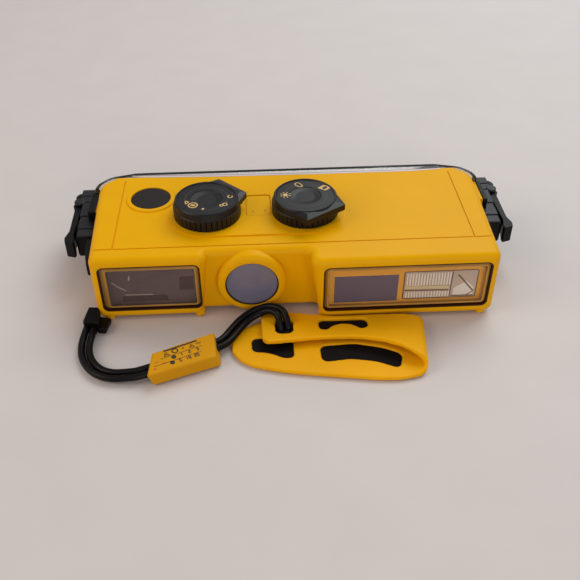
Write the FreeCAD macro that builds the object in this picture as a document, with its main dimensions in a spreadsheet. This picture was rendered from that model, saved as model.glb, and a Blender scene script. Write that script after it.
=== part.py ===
import FreeCAD, Part
import math
import os
import re
import sys

import Sketcher

from FreeCAD import Placement, Rotation, Vector

# Underwater film camera with its wrist strap, in millimetres.
# +X is the camera's width, +Y runs to the back and +Z is up.
# The origin lies under the middle of the camera, on the surface that it stands on.
# In the sizes, every distance named "depth" or "y" counts from the flash module's front.

SIZES = {
    # Housing
    "housing_depth": 67.4,
    "cover_depth": 5.6,
    "front_half_width": 81.6,
    "side_taper": 2.6,
    "base_z": 1.2,
    "top_z": 31.2,
    "wall": 2.6,
    "edge_radius": 3.0,
    "front_corner_radius": 3.6,
    "rear_corner_radius": 9.0,
    "recess_corner_radius": 4.0,
    "recess_root_radius": 2.5,
    "recess_left_corner_radius": 3.25,
    "recess_left_root_radius": 0.45,
    "finder_setback": 5.4,
    "recess_depth": 9.2,
    "recess_left_base": -38.3,
    "recess_left_top": -35.3,
    "recess_right_base": 9.9,
    "recess_right_top": 5.5,
    "cavity_depth": 13.0,
    "foot_radius": 2.2,
    "groove_width": 0.6,
    "groove_sink": 0.4,
    "front_groove_y": 12.5,
    "side_groove_margin": 8.7,
    "shoulder_reach": 2.6,
    # Fits
    "running_gap": 0.05,
    "fixed_gap": 0.02,
    "seat_gap": 0.1,
    "body_gap": 0.3,
    # Windows
    "window_base_z": 5.1,
    "window_top_z": 27.6,
    "window_corner_radius": 2.6,
    "window_side_margin": 2.9,
    "finder_right": -38.1,
    "flash_left": 10.9,
    "gasket_width": 0.55,
    "pane_sink": 0.5,
    "pane_thickness": 2.2,
    "pane_bevel": 1.2,
    "window_ledge": 2.2,
    # Lens port and lens
    "lens_x": -17.6,
    "lens_z": 16.3,
    "boss_radius": 14.2,
    "boss_rounding": 2.6,
    "port_radius": 10.9,
    "port_ring_width": 0.55,
    "port_glass_thickness": 2.2,
    "port_light_radius": 8.6,
    "barrel_radius": 7.5,
    "barrel_bore_radius": 5.5,
    "barrel_front_y": 14.2,
    "barrel_share": 0.4422,
    "tunnel_share": 0.3605,
    "glass_share": 0.34,
    "film_plane_to_back": 23.8,
    # Flash unit
    "bezel_thickness": 2.0,
    "label_margin": 4.7,
    "label_share": 0.453,
    "label_base_z": 9.7,
    "label_top_z": 23.2,
    "label_thickness": 0.5,
    "lamp_share": 0.485,
    "lamp_margin": 4.8,
    "lamp_base_z": 11.0,
    "lamp_top_z": 24.6,
    "lamp_thickness": 2.0,
    "lamp_rib_pitch": 1.5,
    "reflector_depth": 9.5,
    "tube_radius": 1.5,
    # Dials on their raised plateau
    "dial_to_back": 32.2,
    "focus_dial_x": -35.2,
    "exposure_dial_x": 5.9,
    "plateau_radius": 16.4,
    "plateau_height": 0.6,
    "dial_height": 7.6,
    "dial_radius": 13.25,
    "dial_skirt_flare": 0.8,
    "dial_rim_width": 1.0,
    "dial_face_sink": 0.4,
    "dish_radius": 6.6,
    "dish_sink": 0.6,
    "horn_radius": 17.4,
    "horn_drop": 1.2,
    "horn_thickness": 2.6,
    "knurl_width": 0.9,
    "knurl_sink": 0.35,
    "knurl_count": 40,
    "shaft_radius": 2.5,
    "seal_wire_radius": 0.68,
    "cam_radius": 5.6,
    "index_left": -19.2,
    "index_right": -8.3,
    "index_front_reach": 2.6,
    "index_rear_reach": 13.6,
    "index_sink": 0.3,
    "index_groove_width": 0.5,
    "index_groove_sink": 0.8,
    # Shutter button
    "shutter_x": -60.0,
    "shutter_to_back": 18.4,
    "shutter_radius": 8.5,
    "shutter_rim_width": 2.0,
    "shutter_rim_height": 0.6,
    "shutter_cap_thickness": 1.6,
    "shutter_stem_radius": 2.4,
    # Film and film chamber
    "cartridge_length": 83.4,
    "cartridge_height": 21.2,
    "cartridge_drum_radius": 9.6,
    "cartridge_web_depth": 7.5,
    "chassis_wall": 1.0,
    "disc_radius": 11.2,
    "disc_offset": 9.0,
    "disc_thickness": 0.6,
    "blade_width": 12.0,
    # Battery and flash electronics
    "battery_radius": 7.25,
    "battery_side_room": 4.9,
    "battery_to_back": 20.4,
    "board_thickness": 1.6,
    "capacitor_radius": 7.0,
    "capacitor_lead_room": 12.5,
    # Back cover
    "cover_wall": 1.8,
    "skirt_thickness": 1.4,
    "skirt_reach": 6.9,
    "cover_edge_radius": 2.2,
    "gasket_section": 1.2,
    # Latches
    "latch_base_z": 13.8,
    "latch_top_z": 21.6,
    "pivot_offset": 8.5,
    "pivot_to_back": 0.8,
    "latch_pin_radius": 1.2,
    "latch_boss_radius": 3.3,
    "latch_ear_radius": 3.6,
    "latch_ear_thickness": 1.9,
    "blade_offset": 0.6,
    "blade_thickness": 2.4,
    "catch_clearance": 1.3,
    "catch_to_pivot": 9.8,
    "catch_length": 22.3,
    "catch_rib_pitch": 5.0,
    "catch_rib_gap": 0.9,
    "hook_reach": 10.5,
    "hook_height": 3.4,
    # Bottom fittings and strap lug
    "lever_length": 23.0,
    "lever_width": 7.0,
    "lever_thickness": 1.7,
    "tripod_x": -44.0,
    "tripod_y": 25.4,
    "tripod_thread_radius": 2.55,
    "tripod_insert_radius": 5.0,
    "tripod_length": 6.0,
    "lug_reach": 5.4,
    "lug_front_y": 6.9,
    "lug_rear_y": 12.9,
    "lug_base_z": 1.6,
    "lug_top_z": 6.8,
    "lug_pin_radius": 1.5,
    # Wrist strap
    "cord_radius": 1.4,
    "strand_spacing": 3.1,
    "tag_height": 6.2,
    "tag_base_z": 0.3,
    "tag_edge_radius": 0.9,
    "tag_bore_gap": 0.25,
    "grip_thickness": 1.9,
    "insert_gap": 0.2,
    "insert_base_z": 0.15,
    "insert_top_z": 1.4,
}

# Sizes and places that follow from those above
WORKED_OUT = {
    "rear_half_width": "front_half_width + side_taper",
    "side_groove_x": "front_half_width - side_groove_margin",
    "finder_left": "window_side_margin - front_half_width",
    "flash_right": "front_half_width - window_side_margin",
    "label_left": "flash_left + label_margin",
    "label_right": "flash_left + (flash_right - flash_left) * label_share",
    "lamp_left": "flash_left + (flash_right - flash_left) * lamp_share",
    "lamp_right": "flash_right - lamp_margin",
    "film_plane_y": "housing_depth - film_plane_to_back",
    "barrel_length": "(film_plane_y - barrel_front_y) * barrel_share",
    "bulkhead_front": "film_plane_y - (film_plane_y - barrel_front_y) * tunnel_share",
    "dial_y": "housing_depth - dial_to_back",
    "index_front_y": "dial_y - index_front_reach",
    "index_rear_y": "dial_y + index_rear_reach",
    "shutter_y": "housing_depth - shutter_to_back",
    "capacitor_y": "pane_sink + pane_thickness + bezel_thickness + reflector_depth + capacitor_radius + 1.1",
    "board_y": "capacitor_y + capacitor_radius + 0.3",
    "battery_y": "housing_depth - battery_to_back",
    "battery_left": "lens_x + cartridge_length / 2 + chassis_wall + 1.1",
    "battery_right": "front_half_width - battery_side_room",
    "capacitor_left": "battery_left + 4",
    "capacitor_right": "battery_right - capacitor_lead_room",
    "skirt_front_y": "housing_depth - skirt_reach",
    "latch_pivot_x": "rear_half_width + pivot_offset",
    "latch_pivot_y": "housing_depth - pivot_to_back",
    "blade_inner_x": "latch_pivot_x + blade_offset",
    "blade_outer_x": "blade_inner_x + blade_thickness",
    "catch_outer_x": "blade_inner_x - catch_clearance",
    "catch_rear_y": "latch_pivot_y - catch_to_pivot",
    "catch_front_y": "catch_rear_y - catch_length",
    "hook_y": "catch_front_y + hook_reach",
    "lug_outer_x": "0 - front_half_width - lug_reach",
}

doc = FreeCAD.newDocument("underwater_camera")
sheet = doc.addObject("Spreadsheet::Sheet", "Sizes")
for row, alias in enumerate([*SIZES, *WORKED_OUT], start=1):
    sheet.set(f"A{row}", alias)
    sheet.setAlias(f"B{row}", alias)
    sheet.set(f"B{row}", str(SIZES[alias]) if alias in SIZES else f"={WORKED_OUT[alias]}")
doc.recompute()


class Named:
    """Gives the sheet's numbers to the few shapes that are computed in code."""

    def __getattr__(self, alias):
        return float(sheet.get(alias))


size = Named()

FRONT = "(0 - (housing_depth + cover_depth) / 2)"
front_y = -(size.housing_depth + size.cover_depth) / 2


# Helpers that bind an object's sizes to the sheet

def bound(expression):
    """Puts the sheet's name before each alias in an expression."""
    def name(match):
        word = match.group()
        return f"Sizes.{word}" if word in SIZES or word in WORKED_OUT else word
    return re.sub(r"[A-Za-z_]\w*", name, str(expression))


def bind(thing, **expressions):
    for prop, expression in expressions.items():
        thing.setExpression(prop, bound(expression))


def place(thing, x="0", y="0", z="0", rotation=None):
    """Places a thing in the camera's frame."""
    if rotation:
        thing.Placement = Placement(Vector(), rotation)
    for axis, expression in zip("xyz", (x, y, z)):
        thing.setExpression(f"Placement.Base.{axis}", bound(expression))
    return thing


def behind(distance):
    """The y of a plane this far behind the flash module's front."""
    return f"{FRONT} + ({distance})"


def block(name, xs, ys, zs):
    """A box between limits. The ys count from the flash module's front."""
    solid = doc.addObject("Part::Box", name)
    bind(solid, Length=f"({xs[1]}) - ({xs[0]})", Width=f"({ys[1]}) - ({ys[0]})",
         Height=f"({zs[1]}) - ({zs[0]})")
    return place(solid, xs[0], behind(ys[0]), zs[0])


ALONG_X = Rotation(Vector(0, 1, 0), 90)
ALONG_Y = Rotation(Vector(1, 0, 0), -90)
ALONG_Z = Rotation()


def rod(name, axis, centre, radius, span):
    """A round bar along x, y or z. The centre names the two other coordinates."""
    solid = doc.addObject("Part::Cylinder", name)
    bind(solid, Radius=radius, Height=f"({span[1]}) - ({span[0]})")
    if axis == "x":
        return place(solid, span[0], behind(centre[0]), centre[1], ALONG_X)
    if axis == "y":
        return place(solid, centre[0], behind(span[0]), centre[1], ALONG_Y)
    return place(solid, centre[0], behind(centre[1]), span[0], ALONG_Z)


def outline(sketch, points):
    """Draws a closed outline whose corners are bound to the sheet."""
    count = len(points)
    turn = [(math.cos(2 * math.pi * i / count), math.sin(2 * math.pi * i / count)) for i in range(count)]
    for i in range(count):
        here = Vector(*turn[i], 0)
        there = Vector(*turn[(i + 1) % count], 0)
        sketch.addGeometry(Part.LineSegment(here, there), False)
    for i in range(count):
        sketch.addConstraint(Sketcher.Constraint("Coincident", i, 2, (i + 1) % count, 1))
    for i, point in enumerate(points):
        for kind, expression in zip(("DistanceX", "DistanceY"), point):
            number = sketch.addConstraint(Sketcher.Constraint(kind, -1, 1, i, 1, 1.0))
            sketch.setExpression(f"Constraints[{number}]", bound(expression))


PLANES = {
    "xy": (ALONG_Z, Vector(0, 0, 1)),
    "xz": (Rotation(Vector(1, 0, 0), 90), Vector(0, 1, 0)),
    "yz": (Rotation(Vector(1, 1, 1), 120), Vector(1, 0, 0)),
}


def prism(name, plane, points, start, end):
    """Extrudes an outline. In it, y counts from the flash module's front."""
    rotation, direction = PLANES[plane]
    sketch = doc.addObject("Sketcher::SketchObject", f"{name}_outline")
    if plane == "xy":
        outline(sketch, points)
        place(sketch, "0", FRONT, start, rotation)
    elif plane == "xz":
        outline(sketch, points)
        place(sketch, "0", behind(start), "0", rotation)
    else:
        outline(sketch, points)
        place(sketch, start, FRONT, "0", rotation)
    solid = doc.addObject("Part::Extrusion", name)
    solid.Base = sketch
    solid.DirMode = "Custom"
    solid.Dir = direction
    solid.Solid = True
    bind(solid, LengthFwd=f"({end}) - ({start})")
    return solid


def fuse(name, *parts):
    solid = doc.addObject("Part::MultiFuse", name)
    solid.Shapes = list(parts)
    return solid


def cut(name, base, *tools):
    solid = doc.addObject("Part::Cut", name)
    solid.Base = base
    solid.Tool = tools[0] if len(tools) == 1 else fuse(f"{name}_tools", *tools)
    return solid


def common(name, first, second):
    solid = doc.addObject("Part::Common", name)
    solid.Base = first
    solid.Tool = second
    return solid


def mirrored(name, source):
    """The left-hand copy of a right-hand piece."""
    solid = doc.addObject("Part::Mirroring", name)
    solid.Source = source
    solid.Normal = Vector(1, 0, 0)
    return solid


def rounded(name, base, *rules):
    """Fillets edges. Each rule is a test of an edge and the radius for it."""
    doc.recompute()
    chosen = []
    for number, edge in enumerate(base.Shape.Edges, start=1):
        for test, radius in rules:
            if test(edge):
                chosen.append((number, radius, radius))
                break
    solid = doc.addObject("Part::Fillet", name)
    solid.Base = base
    solid.Edges = chosen
    return solid


def bevelled(name, base, test, width):
    doc.recompute()
    solid = doc.addObject("Part::Chamfer", name)
    solid.Base = base
    solid.Edges = [(number, width, width) for number, edge in enumerate(base.Shape.Edges, 1) if test(edge)]
    return solid


def runs_along(axis):
    """A test for straight edges along an axis."""
    def test(edge):
        if edge.Curve.TypeId != "Part::GeomLine":
            return False
        direction = edge.tangentAt(edge.FirstParameter)
        return abs(getattr(direction, axis)) > 0.97
    return test


def lies_at(axis, position):
    """A test for edges that lie whole in the plane at a position on an axis."""
    def test(edge):
        box = edge.BoundBox
        low = getattr(box, axis.upper() + "Min")
        high = getattr(box, axis.upper() + "Max")
        return abs(low - position) < 0.01 and abs(high - position) < 0.01
    return test


def rounded_block(name, xs, ys, zs, axis, radius):
    """A block whose four edges along one axis are rounded."""
    return rounded(name, block(f"{name}_block", xs, ys, zs), (runs_along(axis), radius))


def turned(name, profile, axis, x, y, z):
    """A turned piece. Its profile lists (radius, height along the axis) corners."""
    body = doc.addObject("PartDesign::Body", name)
    sketch = body.newObject("Sketcher::SketchObject", f"{name}_profile")
    role = "XZ_Plane" if axis == "z" else "XY_Plane"
    plane = next(feature for feature in body.Origin.OriginFeatures if feature.Role == role)
    sketch.AttachmentSupport = [(plane, "")]
    sketch.MapMode = "FlatFace"
    outline(sketch, profile)
    turn = body.newObject("PartDesign::Revolution", f"{name}_turn")
    turn.Profile = sketch
    turn.ReferenceAxis = (sketch, ["V_Axis"])
    turn.Angle = 360
    place(body, x, behind(y), z)
    return body


NODES = []


def node(name, solid):
    """Names a finished sub-part."""
    solid.Label = name
    NODES.append(solid)
    return solid


def in_code(name, shape):
    """A shape computed in code, for forms that no feature here makes."""
    solid = doc.addObject("Part::Feature", name)
    solid.Shape = shape
    return solid


# Housing

def make_plan(name, grow, extra, low, high):
    """The housing's plan as a prism, widened all round by grow."""
    left_front = f"0 - front_half_width - {grow}"
    right_front = f"front_half_width + {grow}"
    middle = "(recess_left_top + recess_right_top) / 2"
    points = [
        (left_front, f"finder_setback - {grow}"),
        (middle, f"finder_setback - {grow}"),
        (middle, f"0 - {grow}"),
        (right_front, f"0 - {grow}"),
        (f"rear_half_width + {grow}", f"housing_depth + {extra}"),
        (f"0 - rear_half_width - {grow}", f"housing_depth + {extra}"),
    ]
    return prism(name, "xy", points, low, high)


REAR_RELIEF = "rear_corner_radius / 9"


def make_outer_form():
    """The moulded outer form with its recess, corners and rounded edges."""
    plan = make_plan("housing_plan", "0", REAR_RELIEF, "base_z", "top_z")
    recess = prism("recess", "xz", [
        ("recess_left_base", "base_z"), ("recess_right_base", "base_z"),
        ("recess_right_top", "top_z"), ("recess_left_top", "top_z"),
    ], "0 - 1", "recess_depth")
    recessed = cut("housing_recessed", plan, recess)
    rear = front_y + size.housing_depth + size.rear_corner_radius / 9

    def upright(edge):
        box = edge.BoundBox
        return box.ZLength > 0.9 * (size.top_z - size.base_z)

    def outer_front(edge):
        return upright(edge) and abs(edge.CenterOfMass.x) > 0.9 * size.front_half_width \
            and edge.CenterOfMass.y < front_y + size.finder_setback + 1

    def outer_rear(edge):
        return upright(edge) and edge.CenterOfMass.y > rear - 0.5

    def recess_root(edge):
        return upright(edge) and abs(edge.CenterOfMass.y - front_y - size.recess_depth) < 0.1

    def recess_corner(edge):
        return upright(edge) and abs(edge.CenterOfMass.x) < 0.6 * size.front_half_width

    def on_left(test):
        return lambda edge: test(edge) and edge.CenterOfMass.x < size.lens_x

    cornered = rounded(
        "housing_cornered", recessed,
        (outer_front, size.front_corner_radius),
        (outer_rear, size.rear_corner_radius),
        (on_left(recess_root), size.recess_left_root_radius),
        (on_left(recess_corner), size.recess_left_corner_radius),
        (recess_root, size.recess_root_radius),
        (recess_corner, size.recess_corner_radius),
    )
    trimmed = cut("housing_trimmed", cornered, block(
        "rear_trim", ("0 - rear_half_width - 5", "rear_half_width + 5"),
        ("housing_depth", "housing_depth + 5"), ("base_z - 5", "top_z + 5")))
    back = front_y + size.housing_depth

    def top_or_base(edge):
        level = lies_at("z", size.top_z)(edge) or lies_at("z", size.base_z)(edge)
        return level and not lies_at("y", back)(edge)

    return rounded("housing_form", trimmed, (top_or_base, size.edge_radius))


def make_lens_boss():
    boss = rod("lens_boss_round", "y", ("lens_x", "lens_z"), "boss_radius",
               ("finder_setback", "recess_depth + 1"))
    front = front_y + size.finder_setback
    return rounded("lens_boss", boss, (lies_at("y", front), size.boss_rounding))


def make_plateau():
    low = "top_z - 1"
    high = "top_z + plateau_height"
    return fuse(
        "plateau",
        rod("plateau_left", "z", ("focus_dial_x", "dial_y"), "plateau_radius", (low, high)),
        rod("plateau_right", "z", ("exposure_dial_x", "dial_y"), "plateau_radius", (low, high)),
        block("plateau_bridge", ("focus_dial_x", "exposure_dial_x"),
              ("dial_y - plateau_radius", "dial_y + plateau_radius"), (low, high)),
    )


FEET = {
    "left_front": ("0 - front_half_width + 4.6", "finder_setback + 2.8"),
    "left_inner": ("recess_left_base - 1.4", "finder_setback + 2.8"),
    "right_inner": ("recess_right_base + 1.6", "3.2"),
    "right_front": ("front_half_width - 4.6", "3.2"),
    "left_rear": ("0 - rear_half_width + 10", "housing_depth - 7"),
    "right_rear": ("rear_half_width - 10", "housing_depth - 7"),
}


def make_feet():
    feet = []
    for name, centre in FEET.items():
        foot = rod(f"foot_{name}_post", "z", centre, "foot_radius", ("0", "base_z + 2.4"))
        feet.append(rounded(f"foot_{name}", foot, (lies_at("z", 0.0), 0.8)))
    return feet


SHUTTER_BOSS_Z = "top_z - wall - 1.6"


def make_shutter_seat():
    """The raised rim round the button and the boss inside that guides its stem."""
    centre = ("shutter_x", "shutter_y")
    rim = rod("shutter_rim_round", "z", centre, "shutter_radius + shutter_rim_width",
              ("top_z - 1", "top_z + shutter_rim_height"))
    rim_top = size.top_z + size.shutter_rim_height
    return [
        rounded("shutter_rim", rim, (lies_at("z", rim_top), size.shutter_rim_height * 0.8)),
        rod("shutter_boss", "z", centre, "shutter_radius + shutter_rim_width",
            (SHUTTER_BOSS_Z, "top_z - 1")),
    ]


def window_opening(name, left, right, face):
    """A window's stepped opening: a seat for the pane, then a smaller light way."""
    seat_depth = f"({face}) + pane_sink + pane_thickness + seat_gap"
    seat = rounded_block(f"{name}_seat", (left, right), (f"({face}) - 1", seat_depth),
                         ("window_base_z", "window_top_z"), "y", size.window_corner_radius)
    way = block(f"{name}_way", (f"{left} + window_ledge", f"{right} - window_ledge"),
                (f"({face}) + 1", "cavity_depth + 1"),
                ("window_base_z + window_ledge", "window_top_z - window_ledge"))
    return [seat, way]


BEZEL_FRONT = "pane_sink + pane_thickness + 0.35"
LEVER_CENTRE = ("lens_x + cartridge_length / 2 - cartridge_drum_radius",
                "film_plane_y + cartridge_drum_radius + 0.2")


def make_lever_recess():
    """The shallow recess under the housing that the advance lever swings in."""
    x, y = LEVER_CENTRE
    reach = "(lever_length + 1.2)"
    half = "(lever_width / 2 + 0.8)"
    sweep = prism("lever_sweep", "xy", [
        (x, f"{y} + {half}"),
        (f"{x} - {half} * 0.9", y),
        (f"{x} + {reach} * 0.34", f"{y} - {reach} * 0.98"),
        (f"{x} + {reach} * 0.72", f"{y} - {reach} * 0.86"),
        (f"{x} + {reach} * 1.04", f"{y} - {reach} * 0.34"),
        (f"{x} + {reach} * 1.04", f"{y} + {half}"),
    ], "base_z - 1", "base_z + 1.4")
    return [
        sweep,
        rod("lever_eye_recess", "z", LEVER_CENTRE, f"{half} + 0.8", ("base_z - 1", "base_z + 1.4")),
        rod("lever_shaft_bore", "z", LEVER_CENTRE, "shaft_radius + running_gap",
            ("base_z - 1", "base_z + wall + 2")),
    ]


def make_index_box():
    """The sunk box between the dials, with a finer groove round its floor."""
    floor = "top_z + plateau_height - index_sink"
    room = rounded_block("index_room", ("index_left", "index_right"), ("index_front_y", "index_rear_y"),
                         ("top_z + plateau_height - index_groove_sink", "top_z + 3"), "z", 1.6)
    width = "index_groove_width"
    island = rounded_block("index_island", (f"index_left + {width}", f"index_right - {width}"),
                           (f"index_front_y + {width}", f"index_rear_y - {width}"),
                           ("top_z - 1", floor), "z", 1.1)
    return cut("index_box", room, island)


def make_shoulders():
    """The rounded bosses on the housing's sides above the catches."""
    shoulders = []
    for name, xs in (("right", ("front_half_width - 1", "rear_half_width + shoulder_reach")),
                     ("left", ("0 - rear_half_width - shoulder_reach", "1 - front_half_width"))):
        boss = block(f"shoulder_{name}_block", xs, ("skirt_front_y - 15", "skirt_front_y - 0.4"),
                     ("latch_top_z + 0.9", "top_z - 3.4"))
        edge_x = size.rear_half_width + size.shoulder_reach
        shoulders.append(rounded(f"shoulder_{name}", boss, (
            lambda edge, edge_x=edge_x: abs(edge.CenterOfMass.x) > edge_x - 0.1, 2.0)))
    return shoulders


def make_housing():
    form = make_outer_form()
    inside = ("base_z + wall", "top_z - wall")
    tripod_boss = rod("tripod_boss", "z", ("tripod_x", "tripod_y"), "tripod_insert_radius + 2",
                      ("base_z + 0.5", "base_z + tripod_length"))
    hollow = cut(
        "housing_hollow", form,
        block("cavity", ("0 - front_half_width + 4.2", "front_half_width - 4.2"),
              ("cavity_depth", "housing_depth - rear_corner_radius + 2.6"), inside),
        block("rear_opening",
              ("0 - rear_half_width + rear_corner_radius + 4.6",
               "rear_half_width - rear_corner_radius - 4.6"),
              ("housing_depth - rear_corner_radius", "housing_depth + 1"), inside),
    )
    outside = fuse("housing_outside", hollow, make_lens_boss(), make_plateau(), tripod_boss,
                   *make_feet(), *make_shutter_seat(), *make_shoulders())
    shaft_bores = []
    for name, x in (("focus", "focus_dial_x"), ("exposure", "exposure_dial_x")):
        centre = (x, "dial_y")
        shaft_bores.append(rod(f"{name}_shaft_bore", "z", centre, "shaft_radius + running_gap",
                               ("top_z - wall - 1", "top_z + plateau_height + 1")))
        shaft_bores.append(rod(f"{name}_seal_groove", "z", centre,
                               "shaft_radius + 2 * seal_wire_radius + 0.2",
                               ("top_z - wall / 2 - seal_wire_radius - 0.1",
                                "top_z - wall / 2 + seal_wire_radius + 0.1")))
    top_grooves = [
        block("front_groove", ("0 - rear_half_width", "rear_half_width"),
              ("front_groove_y", "front_groove_y + groove_width"), ("top_z - groove_sink", "top_z + 1")),
        block("left_groove", ("0 - side_groove_x", "0 - side_groove_x + groove_width"),
              ("front_groove_y", "housing_depth - 3"), ("top_z - groove_sink", "top_z + 1")),
        block("right_groove", ("side_groove_x", "side_groove_x + groove_width"),
              ("front_groove_y", "housing_depth - 3"), ("top_z - groove_sink", "top_z + 1")),
    ]
    index_box = make_index_box()
    lens = ("lens_x", "lens_z")
    openings = [
        *window_opening("finder_opening", "finder_left", "finder_right", "finder_setback"),
        *window_opening("flash_opening", "flash_left", "flash_right", "0"),
        rounded_block("bezel_seat", ("flash_left", "flash_right"),
                      ("1", f"{BEZEL_FRONT} + bezel_thickness + seat_gap"),
                      ("window_base_z", "window_top_z"), "y", size.window_corner_radius),
        rod("port_seat", "y", lens, "port_radius",
            ("0", "finder_setback + 0.6 + port_glass_thickness + seat_gap")),
        rod("port_light_way", "y", lens, "port_light_radius", ("0", "cavity_depth + 1")),
        rod("shutter_well", "z", ("shutter_x", "shutter_y"), "shutter_radius + seat_gap",
            ("top_z - wall + 0.2", "top_z + 2")),
        rod("shutter_stem_bore", "z", ("shutter_x", "shutter_y"), "shutter_stem_radius + running_gap",
            (f"{SHUTTER_BOSS_Z} - 1", "top_z")),
        rod("tripod_bore", "z", ("tripod_x", "tripod_y"), "tripod_insert_radius + fixed_gap",
            ("0", "base_z + tripod_length + 1")),
    ]
    housing = cut("housing_shell", outside, *openings, *shaft_bores, *top_grooves, index_box,
                  *make_lever_recess())
    node("front_housing", housing)


# Windows, flash unit and lens port

def window_ring(name, left, right, face, depth):
    """The thin dark gasket round a pane."""
    low, high = "window_base_z", "window_top_z"
    gap, width = "fixed_gap", "gasket_width"
    ys = (f"({face}) + 0.15", depth)
    outer = rounded_block(f"{name}_outer", (f"{left} + {gap}", f"{right} - {gap}"), ys,
                          (f"{low} + {gap}", f"{high} - {gap}"), "y", size.window_corner_radius)
    inner_radius = size.window_corner_radius - size.gasket_width
    inner = rounded_block(f"{name}_inner", (f"{left} + {width}", f"{right} - {width}"),
                          (f"({face}) - 1", f"({depth}) + 1"), (f"{low} + {width}", f"{high} - {width}"),
                          "y", inner_radius)
    return cut(f"{name}_ring", outer, inner)


def window_pane(name, left, right, face):
    """A clear pane with a bevel round its front."""
    margin = "(gasket_width + fixed_gap)"
    radius = size.window_corner_radius - size.gasket_width
    ys = (f"({face}) + pane_sink", f"({face}) + pane_sink + pane_thickness")
    slab = rounded_block(f"{name}_slab", (f"{left} + {margin}", f"{right} - {margin}"), ys,
                         (f"window_base_z + {margin}", f"window_top_z - {margin}"), "y", radius)
    doc.recompute()
    front = slab.Shape.BoundBox.YMin
    return bevelled(f"{name}_pane", slab, lies_at("y", front), size.pane_bevel)


def make_windows():
    seat = "pane_sink + pane_thickness"
    node("finder_window", window_pane("finder", "finder_left", "finder_right", "finder_setback"))
    node("finder_gasket", window_ring("finder_gasket", "finder_left", "finder_right", "finder_setback",
                                      f"finder_setback + {seat}"))
    node("flash_window", window_pane("flash", "flash_left", "flash_right", "0"))
    node("flash_gasket", window_ring("flash_gasket", "flash_left", "flash_right", "0", seat))


LABEL_BACK = f"{BEZEL_FRONT} + label_thickness"


def make_flash_panel():
    """The coloured panel behind the flash window, its bare plate and the lamp's ribbed lens."""
    margin = "(fixed_gap + 0.1)"
    panel = rounded_block("bezel_slab", (f"flash_left + {margin}", f"flash_right - {margin}"),
                          (BEZEL_FRONT, f"{BEZEL_FRONT} + bezel_thickness"),
                          (f"window_base_z + {margin}", f"window_top_z - {margin}"), "y",
                          size.window_corner_radius)
    label_seat = block("label_seat", ("label_left - fixed_gap", "label_right + fixed_gap"),
                       (f"{BEZEL_FRONT} - 1", LABEL_BACK),
                       ("label_base_z - fixed_gap", "label_top_z + fixed_gap"))
    lamp_hole = block("lamp_hole", ("lamp_left - seat_gap", "lamp_right + seat_gap"),
                      (f"{BEZEL_FRONT} - 1", f"{BEZEL_FRONT} + bezel_thickness + 1"),
                      ("lamp_base_z - seat_gap", "lamp_top_z + seat_gap"))
    node("flash_bezel", cut("bezel", panel, label_seat, lamp_hole))
    node("label_plate", block("label", ("label_left", "label_right"),
                              (BEZEL_FRONT, f"{LABEL_BACK} - fixed_gap"), ("label_base_z", "label_top_z")))
    lens_back = f"{BEZEL_FRONT} + lamp_thickness"
    slab = block("lamp_slab", ("lamp_left", "lamp_right"), (BEZEL_FRONT, lens_back),
                 ("lamp_base_z", "lamp_top_z"))
    count = int((size.lamp_right - size.lamp_left) * 0.62 / size.lamp_rib_pitch)
    grooves = []
    for i in range(count):
        middle = f"lamp_left + lamp_rib_pitch * {i + 1}"
        grooves.append(prism(f"lamp_groove_{i}", "xy", [
            (f"{middle} - 0.4", f"{lens_back} + 0.1"), (f"{middle} + 0.4", f"{lens_back} + 0.1"),
            (middle, f"{lens_back} - 0.6"),
        ], "lamp_base_z - 1", "lamp_top_z + 1"))
    node("flash_lens", cut("lamp_lens", slab, *grooves))


REFLECTOR_FRONT = f"{BEZEL_FRONT} + bezel_thickness + 0.15"
REFLECTOR_BACK = f"{REFLECTOR_FRONT} + reflector_depth"
LAMP_Z = "(lamp_base_z + lamp_top_z) / 2"
TUBE_Y = f"{REFLECTOR_BACK} - tube_radius - 1.6"


def make_reflector():
    """A curved trough behind the lamp's lens with the tube through its ends."""
    box = block("reflector_box", ("lamp_left + 0.6", "lamp_right - 0.6"), (REFLECTOR_FRONT, REFLECTOR_BACK),
                ("lamp_base_z + 0.4", "lamp_top_z - 0.4"))
    doc.recompute()
    height = size.lamp_top_z - size.lamp_base_z - 0.8
    wall = 0.7
    half = height / 2 - wall
    depth = size.reflector_depth - wall
    length = size.lamp_right - size.lamp_left - 1.2 - 2 * wall
    ellipse = Part.Face(Part.Wire([Part.Ellipse(Vector(), depth, half).toShape()]))
    trough = in_code("reflector_trough", ellipse.extrude(Vector(0, 0, length)))
    place(trough, "lamp_left + 0.6 + 0.7", behind(REFLECTOR_FRONT), LAMP_Z, PLANES["yz"][0])
    tube_hole = rod("tube_hole", "x", (TUBE_Y, LAMP_Z), "tube_radius + seat_gap",
                    ("lamp_left - 1", "lamp_right + 1"))
    node("flash_reflector", cut("reflector", box, trough, tube_hole))
    glass = rod("tube_glass", "x", (TUBE_Y, LAMP_Z), "tube_radius", ("lamp_left + 1.2", "lamp_right - 1.2"))
    ends = [
        rod("tube_end_left", "x", (TUBE_Y, LAMP_Z), "tube_radius / 2", ("lamp_left - 1", "lamp_left + 1.3")),
        rod("tube_end_right", "x", (TUBE_Y, LAMP_Z), "tube_radius / 2",
            ("lamp_right - 1.3", "lamp_right + 0.6")),
    ]
    node("flash_tube", fuse("tube", glass, *ends))


def make_port():
    lens = ("lens_x", "lens_z")
    front = "finder_setback + 0.6"
    back = f"{front} + port_glass_thickness"
    ring = cut("port_ring_cut", rod("port_ring_outer", "y", lens, "port_radius - fixed_gap", (front, back)),
               rod("port_ring_inner", "y", lens, "port_radius - port_ring_width",
                   (f"{front} - 1", f"{back} + 1")))
    node("port_ring", ring)
    node("port_glass", rod("port_disc", "y", lens, "port_radius - port_ring_width - fixed_gap",
                           (f"{front} + 0.3", back)))


# Lens, shutter and film chamber

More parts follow.
